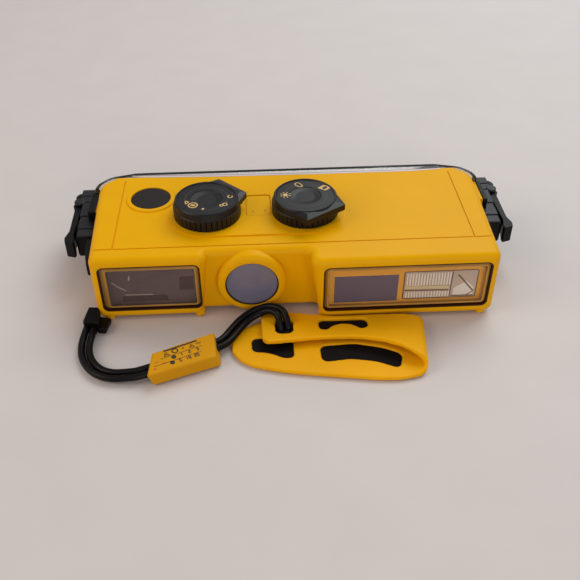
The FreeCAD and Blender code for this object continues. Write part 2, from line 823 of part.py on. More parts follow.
def make_lens():
    front, length = "barrel_front_y", "barrel_length"
    room = "barrel_length * glass_share"
    barrel = turned("barrel", [
        ("barrel_bore_radius", "0"), ("barrel_radius + 0.9", "0"), ("barrel_radius + 0.9", "2.4"),
        ("barrel_radius", "2.4"), ("barrel_radius", length), ("barrel_bore_radius", length),
        ("barrel_bore_radius", f"{length} - {room}"), ("barrel_bore_radius - 1.4", f"{length} - {room}"),
        ("barrel_bore_radius - 1.4", room), ("barrel_bore_radius", room),
    ], "y", "lens_x", front, "lens_z")
    node("lens_barrel", barrel)
    glass_radius = "barrel_bore_radius - fixed_gap"
    for name, start in (("front_element", f"{room} * 0.14"), ("rear_element", f"{length} - {room} * 0.82")):
        flat = rod(f"{name}_rim", "y", ("lens_x", "lens_z"), glass_radius,
                   (f"{front} + {start}", f"{front} + {start} + {room} * 0.73"))
        ball = doc.addObject("Part::Sphere", f"{name}_ball")
        bind(ball, Radius="barrel_bore_radius * 2.6")
        place(ball, "lens_x", behind(f"{front} + {start} + barrel_bore_radius * 2.6 + 0.1"), "lens_z")
        node(name, common(f"{name}_lens", flat, ball))


BLADE_BASE_Z = "lens_z - 5.7"
BLADE_TOP_Z = "lens_z + 5.7"


def make_chassis():
    """The black inner frame: lens plate, light tunnel, blade guides and film chamber."""
    low = "base_z + wall + seat_gap"
    lens = ("lens_x", "lens_z")
    left = "lens_x - cartridge_length / 2 - 0.3 - chassis_wall"
    right = "lens_x + cartridge_length / 2 + 0.3 + chassis_wall"
    rear = "film_plane_y + 2 * cartridge_drum_radius + 0.6"
    floor_top = f"{low} + chassis_wall"
    solids = [
        block("lens_plate", ("lens_x - 13", "lens_x + 13.6"),
              ("barrel_front_y + barrel_length * 0.52", "barrel_front_y + barrel_length * 0.79"),
              (low, "lens_z + 11")),
        block("shutter_floor", ("lens_x - 13", "lens_x + 13.6"),
              ("barrel_front_y + barrel_length * 0.78", "bulkhead_front + 1"),
              (low, f"{low} + 0.7")),
        block("bulkhead", ("lens_x - 30", right), ("bulkhead_front", "film_plane_y - 0.2"),
              (low, "lens_z + 7.1")),
        block("lower_guide", ("lens_x - 24", "lens_x + 9"), ("bulkhead_front - 2.2", "bulkhead_front"),
              (f"{BLADE_BASE_Z} - 1.8", f"{BLADE_BASE_Z} - 0.2")),
        block("upper_guide", ("lens_x - 24", "lens_x + 9"), ("bulkhead_front - 2.2", "bulkhead_front"),
              (f"{BLADE_TOP_Z} + 0.2", f"{BLADE_TOP_Z} + 1.4")),
        block("chamber_floor", (left, right), ("film_plane_y - 0.3", rear), (low, floor_top)),
        block("chamber_left_wall", (left, f"{left} + chassis_wall"), ("film_plane_y - 0.3", rear),
              (low, f"{low} + cartridge_height")),
        block("chamber_right_wall", (f"{right} - chassis_wall", right), ("film_plane_y - 0.3", rear),
              (low, f"{low} + cartridge_height")),
        block("left_web", (left, "lens_x - 29"), ("film_plane_y - 1.8", "film_plane_y - 0.2"),
              (low, "lens_z + 7.1")),
        rod("disc_pin", "y", ("lens_x + disc_offset", "lens_z"), "1.0 - fixed_gap",
            ("barrel_front_y + barrel_length * 0.77", "barrel_front_y + barrel_length + 3.2")),
    ]
    holes = [
        rod("barrel_guide", "y", lens, "barrel_radius + running_gap",
            ("barrel_front_y", "barrel_front_y + barrel_length * 0.85")),
        block("light_tunnel", ("lens_x - 8.6", "lens_x + 8.6"), ("bulkhead_front + 0.1", "film_plane_y + 1"),
              ("lens_z - 6.4", "lens_z + 6.4")),
        rod("blade_aperture", "y", lens, "4.2", ("bulkhead_front - 1.4", "bulkhead_front + 1.6")),
        rod("lever_shaft_way", "z", LEVER_CENTRE, "shaft_radius + 0.6", ("base_z", "base_z + wall + 3")),
        rod("focus_cam_room", "z", ("focus_dial_x", "dial_y"), "cam_radius + 0.6",
            ("lens_z + 6.6", "top_z")),
    ]
    node("inner_chassis", cut("chassis", fuse("chassis_solid", *solids), *holes))


STOP_FRONT = "barrel_front_y + barrel_length + 1.4"


def make_shutter_and_stops():
    disc = rod("stop_disc", "y", ("lens_x + disc_offset", "lens_z"), "disc_radius",
               (STOP_FRONT, f"{STOP_FRONT} + disc_thickness"))
    holes = [rod("disc_eye", "y", ("lens_x + disc_offset", "lens_z"), "1.0 + running_gap",
                 (f"{STOP_FRONT} - 1", f"{STOP_FRONT} + 2"))]
    for name, angle, radius in (("wide", -35, 1.9), ("middle", 0, 1.4), ("small", 35, 0.9)):
        side = f"lens_x + disc_offset - disc_offset * {math.cos(math.radians(angle)):.4f}"
        level = f"lens_z + disc_offset * {math.sin(math.radians(angle)):.4f}"
        holes.append(rod(f"stop_{name}", "y", (side, level), str(radius),
                         (f"{STOP_FRONT} - 1", f"{STOP_FRONT} + 2")))
    node("aperture_disc", cut("stops", disc, *holes))
    node("shutter_blade",
         block("blade", ("lens_x - blade_width / 2 - 0.6", "lens_x + blade_width / 2 - 0.6"),
               ("bulkhead_front - 1.8", "bulkhead_front - 1.2"),
               (BLADE_BASE_Z, BLADE_TOP_Z)))


def make_cartridge():
    """A 110 film cartridge: two drums and the thin web between them."""
    low = "base_z + wall + seat_gap + chassis_wall + seat_gap"
    high = f"{low} + cartridge_height"
    y = "film_plane_y + cartridge_drum_radius + 0.2"
    left = "lens_x - cartridge_length / 2 + cartridge_drum_radius"
    right = "lens_x + cartridge_length / 2 - cartridge_drum_radius"
    solids = [
        rod("supply_drum", "z", (left, y), "cartridge_drum_radius", (low, high)),
        rod("take_up_drum", "z", (right, y), "cartridge_drum_radius", (low, high)),
        block("supply_cheek", (left, f"{left} + cartridge_drum_radius"), ("film_plane_y + 0.2", y),
              (low, high)),
        block("take_up_cheek", (f"{right} - cartridge_drum_radius", right), ("film_plane_y + 0.2", y),
              (low, high)),
        block("web", (left, right), ("film_plane_y + 0.2", "film_plane_y + 0.2 + cartridge_web_depth"),
              (low, high)),
    ]
    holes = [
        block("frame_number_window", ("lens_x - 3", "lens_x + 3"),
              ("film_plane_y + cartridge_web_depth - 0.6", "film_plane_y + cartridge_web_depth + 3"),
              (f"{low} + 6", f"{low} + 15")),
        rod("spool_dog_way", "z", LEVER_CENTRE, "4", (f"{low} - 1", f"{low} + 1.2")),
    ]
    node("film_cartridge", cut("cartridge", fuse("cartridge_solid", *solids), *holes))


# Viewfinder

def make_finder():
    """A tapered hood behind the finder window, with its two glasses."""
    left = "finder_left + window_ledge + 0.4"
    right = "finder_right - window_ledge - 3.2"
    front, waist, rear = "cavity_depth - 2", "film_plane_y - 7.6", "housing_depth - 7"
    narrow = "lens_x - cartridge_length / 2 - chassis_wall - 1.2"
    low, high = "window_base_z + window_ledge + 0.3", "window_top_z - window_ledge - 0.3"
    hood = prism("hood_outer", "xy", [
        (left, front), (right, front), (narrow, waist), (narrow, rear), (left, rear),
    ], low, high)
    wall = "1"
    inside = prism("hood_inner", "xy", [
        (f"{left} + {wall}", f"{front} - 1"), (f"{right} - 1.5", f"{front} - 1"),
        (f"{narrow} - {wall}", f"{waist} - 0.4"), (f"{narrow} - {wall}", f"{rear} + 1"),
        (f"{left} + {wall}", f"{rear} + 1"),
    ], f"{low} + {wall}", f"{high} - {wall}")
    node("finder_hood", cut("hood", hood, inside))
    zs = (f"{low} + {wall} + fixed_gap", f"{high} - {wall} - fixed_gap")
    node("finder_objective", block("objective", (f"{left} + {wall} + fixed_gap", f"{right} - 4.6"),
                                   (f"{front} + 0.8", f"{front} + 2.8"), zs))
    node("finder_eyepiece",
         block("eyepiece", (f"{left} + {wall} + fixed_gap", f"{narrow} - {wall} - fixed_gap"),
                                  (f"{rear} - 3", f"{rear} - 0.8"), zs))


# Flash electronics and battery

def make_electronics():
    low = "base_z + wall + seat_gap"
    high = "top_z - wall - 0.4"
    cell_left, cell_right = "battery_left", "battery_right"
    cell_z = f"{low} + 1.2 + battery_radius"
    node("circuit_board", block("board", (f"{cell_left} + 1", f"{cell_right} - 2"),
                                ("board_y", "board_y + board_thickness"), (low, high)))
    node("flash_capacitor", rod("capacitor", "x", ("capacitor_y", f"{low} + capacitor_radius"),
                                "capacitor_radius", ("capacitor_left", "capacitor_right")))
    can = rod("cell_can", "x", ("battery_y", cell_z), "battery_radius", (cell_left, f"{cell_right} - 1"))
    nub = rod("cell_nub", "x", ("battery_y", cell_z), "battery_radius * 0.36",
              (f"{cell_right} - 1.1", cell_right))
    node("aa_battery", fuse("cell", can, nub))
    cradle = block("cradle_block", (cell_left, cell_right), ("battery_y - battery_radius - 1.4",
                   "battery_y + battery_radius + 1.4"), (low, f"{low} + battery_radius"))
    trough = rod("cradle_trough", "x", ("battery_y", cell_z), "battery_radius + seat_gap",
                 (f"{cell_left} - 1", f"{cell_right} + 1"))
    node("battery_cradle", cut("cradle", cradle, trough))
    ys = ("battery_y - battery_radius * 0.6", "battery_y + battery_radius * 0.6")
    zs = (low, f"{cell_z} + battery_radius * 0.6")
    node("battery_contacts", fuse(
        "contacts",
        block("contact_minus", (f"{cell_left} - 0.6", f"{cell_left} - 0.1"), ys, zs),
        block("contact_plus", (f"{cell_right} + 0.1", f"{cell_right} + 0.5"), ys, zs),
    ))


# Controls

def horn_outline(angles, scale):
    """The corners of a dial's two pointed horns with the straight flank between them."""
    first, second = angles
    reach = f"horn_radius * {scale}"
    inner = f"dial_radius * {scale} * 0.98"
    swing = math.degrees(math.acos(min(0.999, size.dial_radius / size.horn_radius)))
    corners = [(first - swing, inner), (first, reach), (second, reach), (second + swing, inner)]
    corners.append(((first + second) / 2, f"{inner} * 0.82"))
    points = []
    for angle, radius in corners:
        points.append((f"{radius} * {math.cos(math.radians(angle)):.5f}",
                       f"{radius} * {math.sin(math.radians(angle)):.5f}"))
    return points


def make_dial(name, x, horn_angles):
    """A knurled dial with a raised rim, a dished face and two horns."""
    base = "top_z + plateau_height + body_gap"
    height = "dial_height"
    body = turned(f"{name}_body", [
        ("shaft_radius + fixed_gap", "0"),
        ("dial_radius + dial_skirt_flare", "0"),
        ("dial_radius + dial_skirt_flare", f"{height} * 0.58"),
        ("dial_radius + dial_skirt_flare * 0.6", f"{height} * 0.62"),
        ("dial_radius", f"{height} - 0.5"),
        ("dial_radius - 0.5", height),
        ("dial_radius - dial_rim_width", height),
        ("dial_radius - dial_rim_width - 0.3", f"{height} - dial_face_sink"),
        ("dish_radius + 0.2", f"{height} - dial_face_sink"),
        ("dish_radius", f"{height} - dial_face_sink - 0.25"),
        ("dish_radius * 0.62", f"{height} - dial_face_sink - dish_sink"),
        ("0", f"{height} - dial_face_sink - dish_sink"),
        ("0", f"{height} - 3.2"),
        ("shaft_radius + fixed_gap", f"{height} - 3.2"),
    ], "z", x, "dial_y", base)
    plane = next(feature for feature in body.Origin.OriginFeatures if feature.Role == "XY_Plane")
    ridge = f"{height} - horn_drop"
    flank = body.newObject("Sketcher::SketchObject", f"{name}_horn_outline")
    flank.AttachmentSupport = [(plane, "")]
    flank.MapMode = "FlatFace"
    flank.setExpression("AttachmentOffset.Base.z", bound(f"{ridge} - horn_thickness"))
    outline(flank, horn_outline(horn_angles, "1"))
    pad = body.newObject("PartDesign::Pad", f"{name}_horns")
    pad.Profile = flank
    pad.setExpression("Length", bound("horn_thickness"))
    doc.recompute()
    sections = []
    for level, scale in ((f"{ridge} - 0.01", "1"), (f"{height} - 0.3", "0.84")):
        section = body.newObject("Sketcher::SketchObject", f"{name}_slope_{len(sections)}")
        section.AttachmentSupport = [(plane, "")]
        section.MapMode = "FlatFace"
        section.setExpression("AttachmentOffset.Base.z", bound(level))
        outline(section, horn_outline(horn_angles, scale))
        sections.append(section)
    slope = body.newObject("PartDesign::AdditiveLoft", f"{name}_slope")
    slope.Profile = sections[0]
    slope.Sections = [sections[1]]
    slope.Ruled = True
    doc.recompute()
    face = body.newObject("Sketcher::SketchObject", f"{name}_face_outline")
    face.AttachmentSupport = [(plane, "")]
    face.MapMode = "FlatFace"
    face.setExpression("AttachmentOffset.Base.z", bound(height))
    face.addGeometry(Part.Circle(Vector(), Vector(0, 0, 1), size.dish_radius), False)
    face.addConstraint(Sketcher.Constraint("Coincident", 0, 3, -1, 1))
    number = face.addConstraint(Sketcher.Constraint("Radius", 0, size.dish_radius))
    face.setExpression(f"Constraints[{number}]", bound("dial_radius - dial_rim_width - 0.3"))
    sink = body.newObject("PartDesign::Pocket", f"{name}_face")
    sink.Profile = face
    sink.setExpression("Length", bound("dial_face_sink"))
    doc.recompute()
    knurl = body.newObject("Sketcher::SketchObject", f"{name}_knurl_outline")
    knurl.AttachmentSupport = [(plane, "")]
    knurl.MapMode = "FlatFace"
    edge = "dial_radius + dial_skirt_flare"
    outline(knurl, [
        (f"0 - ({edge} + 0.3)", "knurl_width / 2"),
        (f"0 - ({edge} + 0.3)", "0 - knurl_width / 2"),
        (f"0 - ({edge} - knurl_sink)", "0"),
    ])
    notch = body.newObject("PartDesign::Pocket", f"{name}_knurl")
    notch.Profile = knurl
    notch.Reversed = True
    notch.setExpression("Length", bound(f"{height} * 0.58"))
    doc.recompute()
    ring = body.newObject("PartDesign::PolarPattern", f"{name}_knurls")
    ring.Originals = [notch]
    axis = next(feature for feature in body.Origin.OriginFeatures if feature.Role == "Z_Axis")
    ring.Axis = (axis, [""])
    ring.Angle = 360
    ring.Occurrences = int(size.knurl_count)
    body.Tip = ring
    return body


def make_controls():
    node("focus_dial", make_dial("focus", "focus_dial_x", (17, 73)))
    node("exposure_dial", make_dial("exposure", "exposure_dial_x", (-91, -23)))
    for name, x in (("focus_shaft", "focus_dial_x"), ("exposure_shaft", "exposure_dial_x")):
        centre = (x, "dial_y")
        cam_low = "lens_z + 7.6"
        stem = rod(f"{name}_stem", "z", centre, "shaft_radius",
                   (cam_low, "top_z + plateau_height + body_gap + dial_height - 3.3"))
        cam = rod(f"{name}_cam", "z", centre, "cam_radius", (cam_low, f"{cam_low} + 1.6"))
        groove = rod(f"{name}_cam_slot", "z", (f"{x} + cam_radius * 0.66", "dial_y"), "0.8",
                     (f"{cam_low} - 1", f"{cam_low} + 3"))
        node(name, cut(f"{name}_solid", fuse(f"{name}_turned", stem, cam), groove))
    rings = []
    for name, x in (("focus", "focus_dial_x"), ("exposure", "exposure_dial_x")):
        ring = doc.addObject("Part::Torus", f"{name}_seal")
        bind(ring, Radius1="shaft_radius + running_gap + seal_wire_radius", Radius2="seal_wire_radius")
        rings.append(place(ring, x, behind("dial_y"), "top_z - wall / 2"))
    node("dial_seals", fuse("seals", *rings))
    base = f"top_z + shutter_rim_height - 0.1 - shutter_cap_thickness"
    node("shutter_button", turned("shutter", [
        ("0", f"{SHUTTER_BOSS_Z} + 1.3 - ({base})"),
        ("shutter_stem_radius", f"{SHUTTER_BOSS_Z} + 1.3 - ({base})"),
        ("shutter_stem_radius", "0"),
        ("shutter_radius", "0"),
        ("shutter_radius", "shutter_cap_thickness - 0.4"),
        ("shutter_radius - 0.4", "shutter_cap_thickness - 0.05"),
        ("shutter_radius * 0.5", "shutter_cap_thickness"),
        ("0", "shutter_cap_thickness"),
    ], "z", "shutter_x", "shutter_y", base))


def make_bottom_fittings():
    x, y = LEVER_CENTRE
    low = "base_z + 1.2 - lever_thickness"
    high = "base_z + 1.2"
    half = "lever_width / 2"
    arm = prism("lever_arm", "xy", [
        (x, f"{y} - {half}"), (f"{x} + lever_length * 0.8", f"{y} - {half} * 0.75"),
        (f"{x} + lever_length", f"{y} - {half} * 0.2"), (f"{x} + lever_length", f"{y} + {half} * 0.5"),
        (f"{x} + lever_length * 0.9", f"{y} + {half}"), (x, f"{y} + {half}"),
    ], low, high)
    eye = rod("lever_eye", "z", LEVER_CENTRE, f"{half} + 0.6", (low, high))
    shaft = rod("lever_shaft", "z", LEVER_CENTRE, "shaft_radius", (low, "base_z + wall + 1.9"))
    dog = block("lever_dog", (f"{x} - 0.7", f"{x} + 0.7"), (f"{y} - 2", f"{y} + 2"),
                ("base_z + wall + 1.8", "base_z + wall + 2.1"))
    node("advance_lever", fuse("lever", arm, eye, shaft, dog))
    socket = cut("socket", rod("socket_outer", "z", ("tripod_x", "tripod_y"), "tripod_insert_radius",
                               ("base_z", "base_z + tripod_length")),
                 rod("socket_bore", "z", ("tripod_x", "tripod_y"), "tripod_thread_radius",
                     ("base_z - 1", "base_z + tripod_length + 1")))
    node("tripod_socket", socket)


# Back cover and latches

def make_cover_envelope(name, low, high, radius):
    """The clear cover's outer form: a shallow lid that bulges behind the housing."""
    side = "rear_half_width + body_gap + skirt_thickness"
    rear = "housing_depth + cover_depth"
    half = [
        (side, "skirt_front_y"), (side, "housing_depth - 3.9"),
        (f"{side} - 5.4", "housing_depth + 2.4"), (f"{side} - 17.4", rear),
    ]
    mirror = [(f"0 - ({x})", y) for x, y in reversed(half)]
    form = prism(f"{name}_plan", "xy", half + mirror, low, high)
    bulge_start = front_y + size.housing_depth - 3

    def at_skirt(edge):
        return runs_along("z")(edge) and front_y + size.skirt_front_y + 1 < edge.CenterOfMass.y < bulge_start

    def at_bulge(edge):
        return runs_along("z")(edge) and edge.CenterOfMass.y > bulge_start

    soft = rounded(f"{name}_soft", form, (at_skirt, 6.5), (at_bulge, 10.0))
    if not radius:
        return soft
    front = front_y + size.skirt_front_y

    def rim(edge):
        return (lies_at("z", size.base_z)(edge) or lies_at("z", size.top_z)(edge)) \
            and not lies_at("y", front)(edge)

    return rounded(name, soft, (rim, radius))


def make_housing_room():
    """The room that the housing's rear end takes inside the cover's skirt."""
    room = make_plan("housing_room_plan", "body_gap", REAR_RELIEF, "base_z - 5", "top_z + 5")
    rear = front_y + size.housing_depth + size.rear_corner_radius / 9
    soft = rounded("housing_room_soft", room, (lambda edge: runs_along("z")(edge)
                   and edge.CenterOfMass.y > rear - 0.5, size.rear_corner_radius + size.body_gap))
    trim = block("housing_room_trim", ("0 - rear_half_width - 5", "rear_half_width + 5"),
                 ("housing_depth + body_gap", "housing_depth + 9"), ("base_z - 6", "top_z + 6"))
    return cut("housing_room", soft, trim)


def make_cover():
    envelope = make_cover_envelope("cover_envelope", "base_z", "top_z", size.cover_edge_radius)
    tray = block("cover_tray",
                 ("0 - rear_half_width + rear_corner_radius + 4.6",
                  "rear_half_width - rear_corner_radius - 4.6"),
                 ("housing_depth - 1", "housing_depth + cover_depth - cover_wall"),
                 ("base_z + wall", "top_z - wall"))
    inner = ("0 - rear_half_width + rear_corner_radius + 3.6", "rear_half_width - rear_corner_radius - 3.6")
    section = "gasket_section"
    groove_front = "housing_depth"
    groove_back = f"housing_depth + body_gap + {section}"

    def frame(name, gap, ys):
        outer = block(f"{name}_outer",
                      (f"{inner[0]} - {section} - {gap}", f"{inner[1]} + {section} + {gap}"), ys,
                      (f"base_z + 0.7 - {gap}", f"top_z - 0.7 + {gap}"))
        hole = block(f"{name}_hole", (f"{inner[0]} + {gap}", f"{inner[1]} - {gap}"),
                     (f"({ys[0]}) - 1", f"({ys[1]}) + 1"),
                     (f"base_z + 0.7 + {section} + {gap}", f"top_z - 0.7 - {section} - {gap}"))
        return cut(name, outer, hole)

    groove = frame("gasket_groove", "fixed_gap", (groove_front, groove_back))
    cover = cut("cover_shell", envelope, make_housing_room(), tray, groove)
    node("back_cover", cover)
    node("cover_gasket", frame("gasket_frame", "0", ("housing_depth + 0.05", f"{groove_back} - fixed_gap")))
    return cover


def make_latches():
    """The right-hand latch: bracket on the cover, lever and catch on the housing."""
    pivot = ("latch_pivot_x", "latch_pivot_y")
    ear_low, ear_high = "latch_base_z - 0.6", "latch_top_z + 0.6"
    side = "rear_half_width + body_gap + skirt_thickness"
    thick = "latch_ear_thickness"
    plate = block("bracket_plate", (f"{side} - 4", f"{side} + 2.2"),
                  ("latch_pivot_y - 5", "latch_pivot_y + 3.6"),
                  (ear_low, ear_high))
    ears = []
    for name, low, high in (("lower", ear_low, f"{ear_low} + {thick}"),
                            ("upper", f"{ear_high} - {thick}", ear_high)):
        ears.append(rod(f"{name}_ear_eye", "z", pivot, "latch_ear_radius", (low, high)))
        ears.append(block(f"{name}_ear_web", (side, "latch_pivot_x"),
                          ("latch_pivot_y - latch_ear_radius", "latch_pivot_y + latch_ear_radius"),
                          (low, high)))
    room = make_cover_envelope("cover_room", "base_z - 5", "top_z + 5", 0)
    pin_bore = rod("bracket_bore", "z", pivot, "latch_pin_radius + fixed_gap",
                   (f"{ear_low} - 1", f"{ear_high} + 1"))
    bracket = cut("bracket", fuse("bracket_solid", plate, *ears), room, pin_bore)
    pin = rod("pin", "z", pivot, "latch_pin_radius", (ear_low, ear_high))

    boss_low, boss_high = f"{ear_low} + {thick} + body_gap", f"{ear_high} - {thick} - body_gap"
    tip_y = "catch_front_y"
    blade = prism("lever_blade", "xy", [
        ("blade_inner_x - 0.4", "latch_pivot_y - 6.4"), ("blade_outer_x", "latch_pivot_y - 6.4"),
        ("blade_outer_x - 0.3", f"{tip_y} + 6"), ("blade_outer_x + 1", f"{tip_y} + 1.2"),
        ("blade_outer_x + 0.6", f"{tip_y} - 1.4"), ("blade_inner_x - 0.6", f"{tip_y} - 2.6"),
        ("blade_inner_x - 0.9", f"{tip_y} - 0.8"), ("blade_inner_x + 0.1", f"{tip_y} + 4"),
    ], "latch_base_z", "latch_top_z")
    arm = block("lever_neck", ("latch_pivot_x - 1.6", "blade_outer_x"),
                ("latch_pivot_y - 9", "latch_pivot_y"),
                (boss_low, boss_high))
    knuckle = rod("lever_knuckle", "z", ("blade_outer_x - 1.2", "latch_pivot_y - 6"), "2.2",
                  ("latch_base_z", "latch_top_z"))
    boss = rod("lever_boss", "z", pivot, "latch_boss_radius", (boss_low, boss_high))
    hook_low = "(latch_base_z + latch_top_z - hook_height) / 2"
    hook_high = "(latch_base_z + latch_top_z + hook_height) / 2"
    hook = prism("lever_hook", "xy", [
        ("catch_outer_x - 2.8", "hook_y - 2.6"), ("blade_inner_x + 0.4", "hook_y - 2.6"),
        ("blade_inner_x + 0.4", "hook_y + 2.2"), ("catch_outer_x - 2.8", "hook_y"),
    ], hook_low, hook_high)
    lever_bore = rod("lever_bore", "z", pivot, "latch_pin_radius + running_gap", (ear_low, ear_high))
    lever = cut("lever", fuse("lever_solid", blade, arm, knuckle, boss, hook), lever_bore)

    catch_low, catch_high = "latch_base_z - 1", "latch_top_z + 0.4"
    catch_block = rounded("catch_soft", block("catch_block", ("front_half_width - 1", "catch_outer_x"),
                          ("catch_front_y", "catch_rear_y"), (catch_low, catch_high)),
                          (lambda edge: edge.CenterOfMass.x > size.catch_outer_x - 0.1, 1.2))
    ribs = []
    count = int(size.catch_length / size.catch_rib_pitch)
    for i in range(count):
        y = f"catch_front_y + catch_rib_pitch * {i + 0.8:.1f}"
        ys = (y, f"{y} + catch_rib_gap")
        ribs.append(block(f"catch_side_groove_{i}", ("catch_outer_x - 1.2", "catch_outer_x + 1"), ys,
                          (f"{catch_low} - 1", f"{catch_high} + 1")))
        ribs.append(block(f"catch_top_groove_{i}", ("front_half_width", "catch_outer_x"), ys,
                          (f"{catch_high} - 1", f"{catch_high} + 1")))
    slot = prism("catch_slot", "xy", [
        ("catch_outer_x - 3.1", "hook_y - 3.2"), ("catch_outer_x + 1", "hook_y - 3.2"),
        ("catch_outer_x + 1", "hook_y + 0.4 + 1.38"), ("catch_outer_x - 3.1", "hook_y + 0.4"),
    ], f"{hook_low} - 0.4", f"{hook_high} + 0.4")
    beside = make_plan("housing_side", "0.05", REAR_RELIEF, "base_z - 5", "top_z + 5")
    catch = cut("catch", catch_block, *ribs, slot, beside)

    for name, solid in (("latch_bracket", bracket), ("latch_pin", pin), ("latch_lever", lever),
                        ("latch_catch", catch)):
        node(f"{name}_right", solid)
        node(f"{name}_left", mirrored(f"{name}_copy", solid))
    return beside


# Strap lug and wrist strap

def make_lug(beside):
    lug = rounded("lug_soft", block("lug_block", ("lug_outer_x", "1 - front_half_width"),
                                    ("lug_front_y", "lug_rear_y"), ("lug_base_z", "lug_top_z")),
                  (lambda edge: edge.CenterOfMass.x < size.lug_outer_x + 0.1, 0.9))
    bore = rod("lug_bore", "x", ("(lug_front_y + lug_rear_y) / 2", "(lug_base_z + lug_top_z) / 2"),
               "lug_pin_radius + running_gap", ("lug_outer_x - 1", "lug_outer_x + 3.4"))
    node("strap_lug", cut("lug", lug, bore, beside))


# The strap's route is a list of points of the pair's middle line: x, y from the front, z.
STRAP_ROUTE = [
    (-85.1, -0.8, 2.6), (-85.1, -6.2, 2.6), (-84.9, -11.6, 1.7), (-83.8, -17.0, 1.7), (-81.0, -22.4, 1.7),
    (-77.0, -26.4, 1.8), (-72.0, -28.5, 1.9), (-66.4, -28.9, 2.4), (-60.6, -29.1, 3.1),
    (-32.2, -15.9, 3.5), (-28.4, -12.6, 3.5), (-25.4, -7.4, 3.6), (-21.8, -2.4, 4.2), (-17.0, 0.9, 5.5),
    (-11.6, 1.2, 7.4), (-7.4, -1.4, 8.4), (-5.6, -5.4, 7.4), (-5.2, -8.2, 3.6),
]


def beside_route(side):
    """The points of one strand, half a spacing to one side of the pair's middle line."""
    strand = []
    last = len(STRAP_ROUTE) - 1
    for i, (x, y, z) in enumerate(STRAP_ROUTE):
        before, after = STRAP_ROUTE[max(0, i - 1)], STRAP_ROUTE[min(last, i + 1)]
        arriving = Vector(x - before[0], y - before[1], 0)
        leaving = Vector(after[0] - x, after[1] - y, 0)
        if i == 0:
            arriving = Vector(leaving)
        if i == last:
            leaving = Vector(arriving)
        across = Vector(0, 0, 1).cross(arriving.normalize() + leaving.normalize()).normalize()
        straight = Vector(0, 0, 1).cross(arriving)
        shift = side * size.strand_spacing / 2 / across.dot(straight)
        strand.append(Vector(x + across.x * shift, front_y + y + across.y * shift, z))
    return strand


def soft_path(points, closed=False, reach=50.0):
    """Straight runs joined by tangent arcs: an open path or a closed outline."""
    bends = []
    inner = range(len(points)) if closed else range(1, len(points) - 1)
    for i in inner:
        back = points[i - 1] - points[i]
        ahead = points[(i + 1) % len(points)] - points[i]
        run = min(reach, 0.45 * min(back.Length, ahead.Length))
        turn = math.pi - back.getAngle(ahead)
        radius = run / math.tan(turn / 2)
        entry = points[i] + back.normalize() * run
        leave = points[i] + ahead.normalize() * run
        halfway = points[i] + (back + ahead).normalize() * (radius / math.cos(turn / 2) - radius)
        bends.append((entry, halfway, leave, radius))
    edges = []
    start = bends[-1][2] if closed else points[0]
    for entry, halfway, leave, radius in bends:
        edges.append(Part.LineSegment(start, entry).toShape())
        edges.append(Part.Arc(entry, halfway, leave).toShape())
        start = leave
    if not closed:
        edges.append(Part.LineSegment(start, points[-1]).toShape())
    return Part.Wire(edges), [bend[3] for bend in bends]


def strand_tube(side, radius):
    points = beside_route(side)
    path, radii = soft_path(points)
    section = Part.Wire([Part.Circle(points[0], points[1] - points[0], radius).toShape()])
    return path.makePipeShell([section], True, False), path, radii


def make_cords():
    for name, side in (("strap_cord_outer", -1), ("strap_cord_inner", 1)):
        tube, path, radii = strand_tube(side, size.cord_radius)
        area = math.pi * size.cord_radius ** 2
        print(f"{name}: {path.Length:.1f} mm long, radii {min(radii):.1f} to {max(radii):.1f} mm,",
              f"volume {tube.Volume:.1f}, section times length {area * path.Length:.1f}")
        node(name, in_code(f"{name}_tube", tube))


# The slider's top, near left corner first, and the lean of its walls down to the base
TAG_TOP = [(-58.3, -33.8), (-32.2, -24.4), (-33.5, -10.6), (-57.3, -21.3)]
TAG_LEAN = (2.0, 0.4)


def make_tag():
    """The slider block on the two strands, with a bore that follows each of them."""
    top = [Vector(x, front_y + y, size.tag_height) for x, y in TAG_TOP]
    slab = Part.Face(Part.makePolygon(top + top[:1])).extrude(
        Vector(*TAG_LEAN, size.tag_base_z - size.tag_height))
    tag = slab.makeFillet(size.tag_edge_radius, slab.Edges)
    for side in (-1, 1):
        tag = tag.cut(strand_tube(side, size.cord_radius + size.tag_bore_gap)[0])
    node("strap_tag", in_code("tag", tag))


def make_clip():
    """The black end block that holds both strands and pins to the lug."""
    outer = "lug_outer_x - body_gap"
    slab = rounded("clip_slab_soft", block("clip_slab", ("lug_outer_x - 1.6", "lug_outer_x + 5.6"),
                                           ("0 - 0.8", "lug_front_y - 1.8"), ("0.4", "lug_top_z - 1.2")),
                   (lambda edge: True, 0.9))
    toe = rounded("clip_toe_soft", block("clip_toe", ("lug_outer_x + 5.1", "lug_outer_x + 10.8"),
                                         ("0 - 2.4", "lug_front_y - 3.3"), ("0.4", "lug_base_z + 2.4")),
                  (lambda edge: True, 0.9))
    tongue = block("clip_tongue", (f"{outer} - 1.8", outer), ("1", "lug_rear_y - 0.4"),
                   ("lug_base_z", "lug_top_z - 0.2"))
    bridge = block("clip_bridge", (f"{outer} - 1.8", "lug_outer_x + 1.6"), ("1", "lug_front_y - 2.6"),
                   ("lug_base_z", "lug_top_z - 1.9"))
    pin = rod("clip_pin", "x", ("(lug_front_y + lug_rear_y) / 2", "(lug_base_z + lug_top_z) / 2"),
              "lug_pin_radius", (f"{outer} - 0.4", f"{outer} + 3"))
    node("strap_clip", fuse("clip", slab, toe, tongue, bridge, pin))


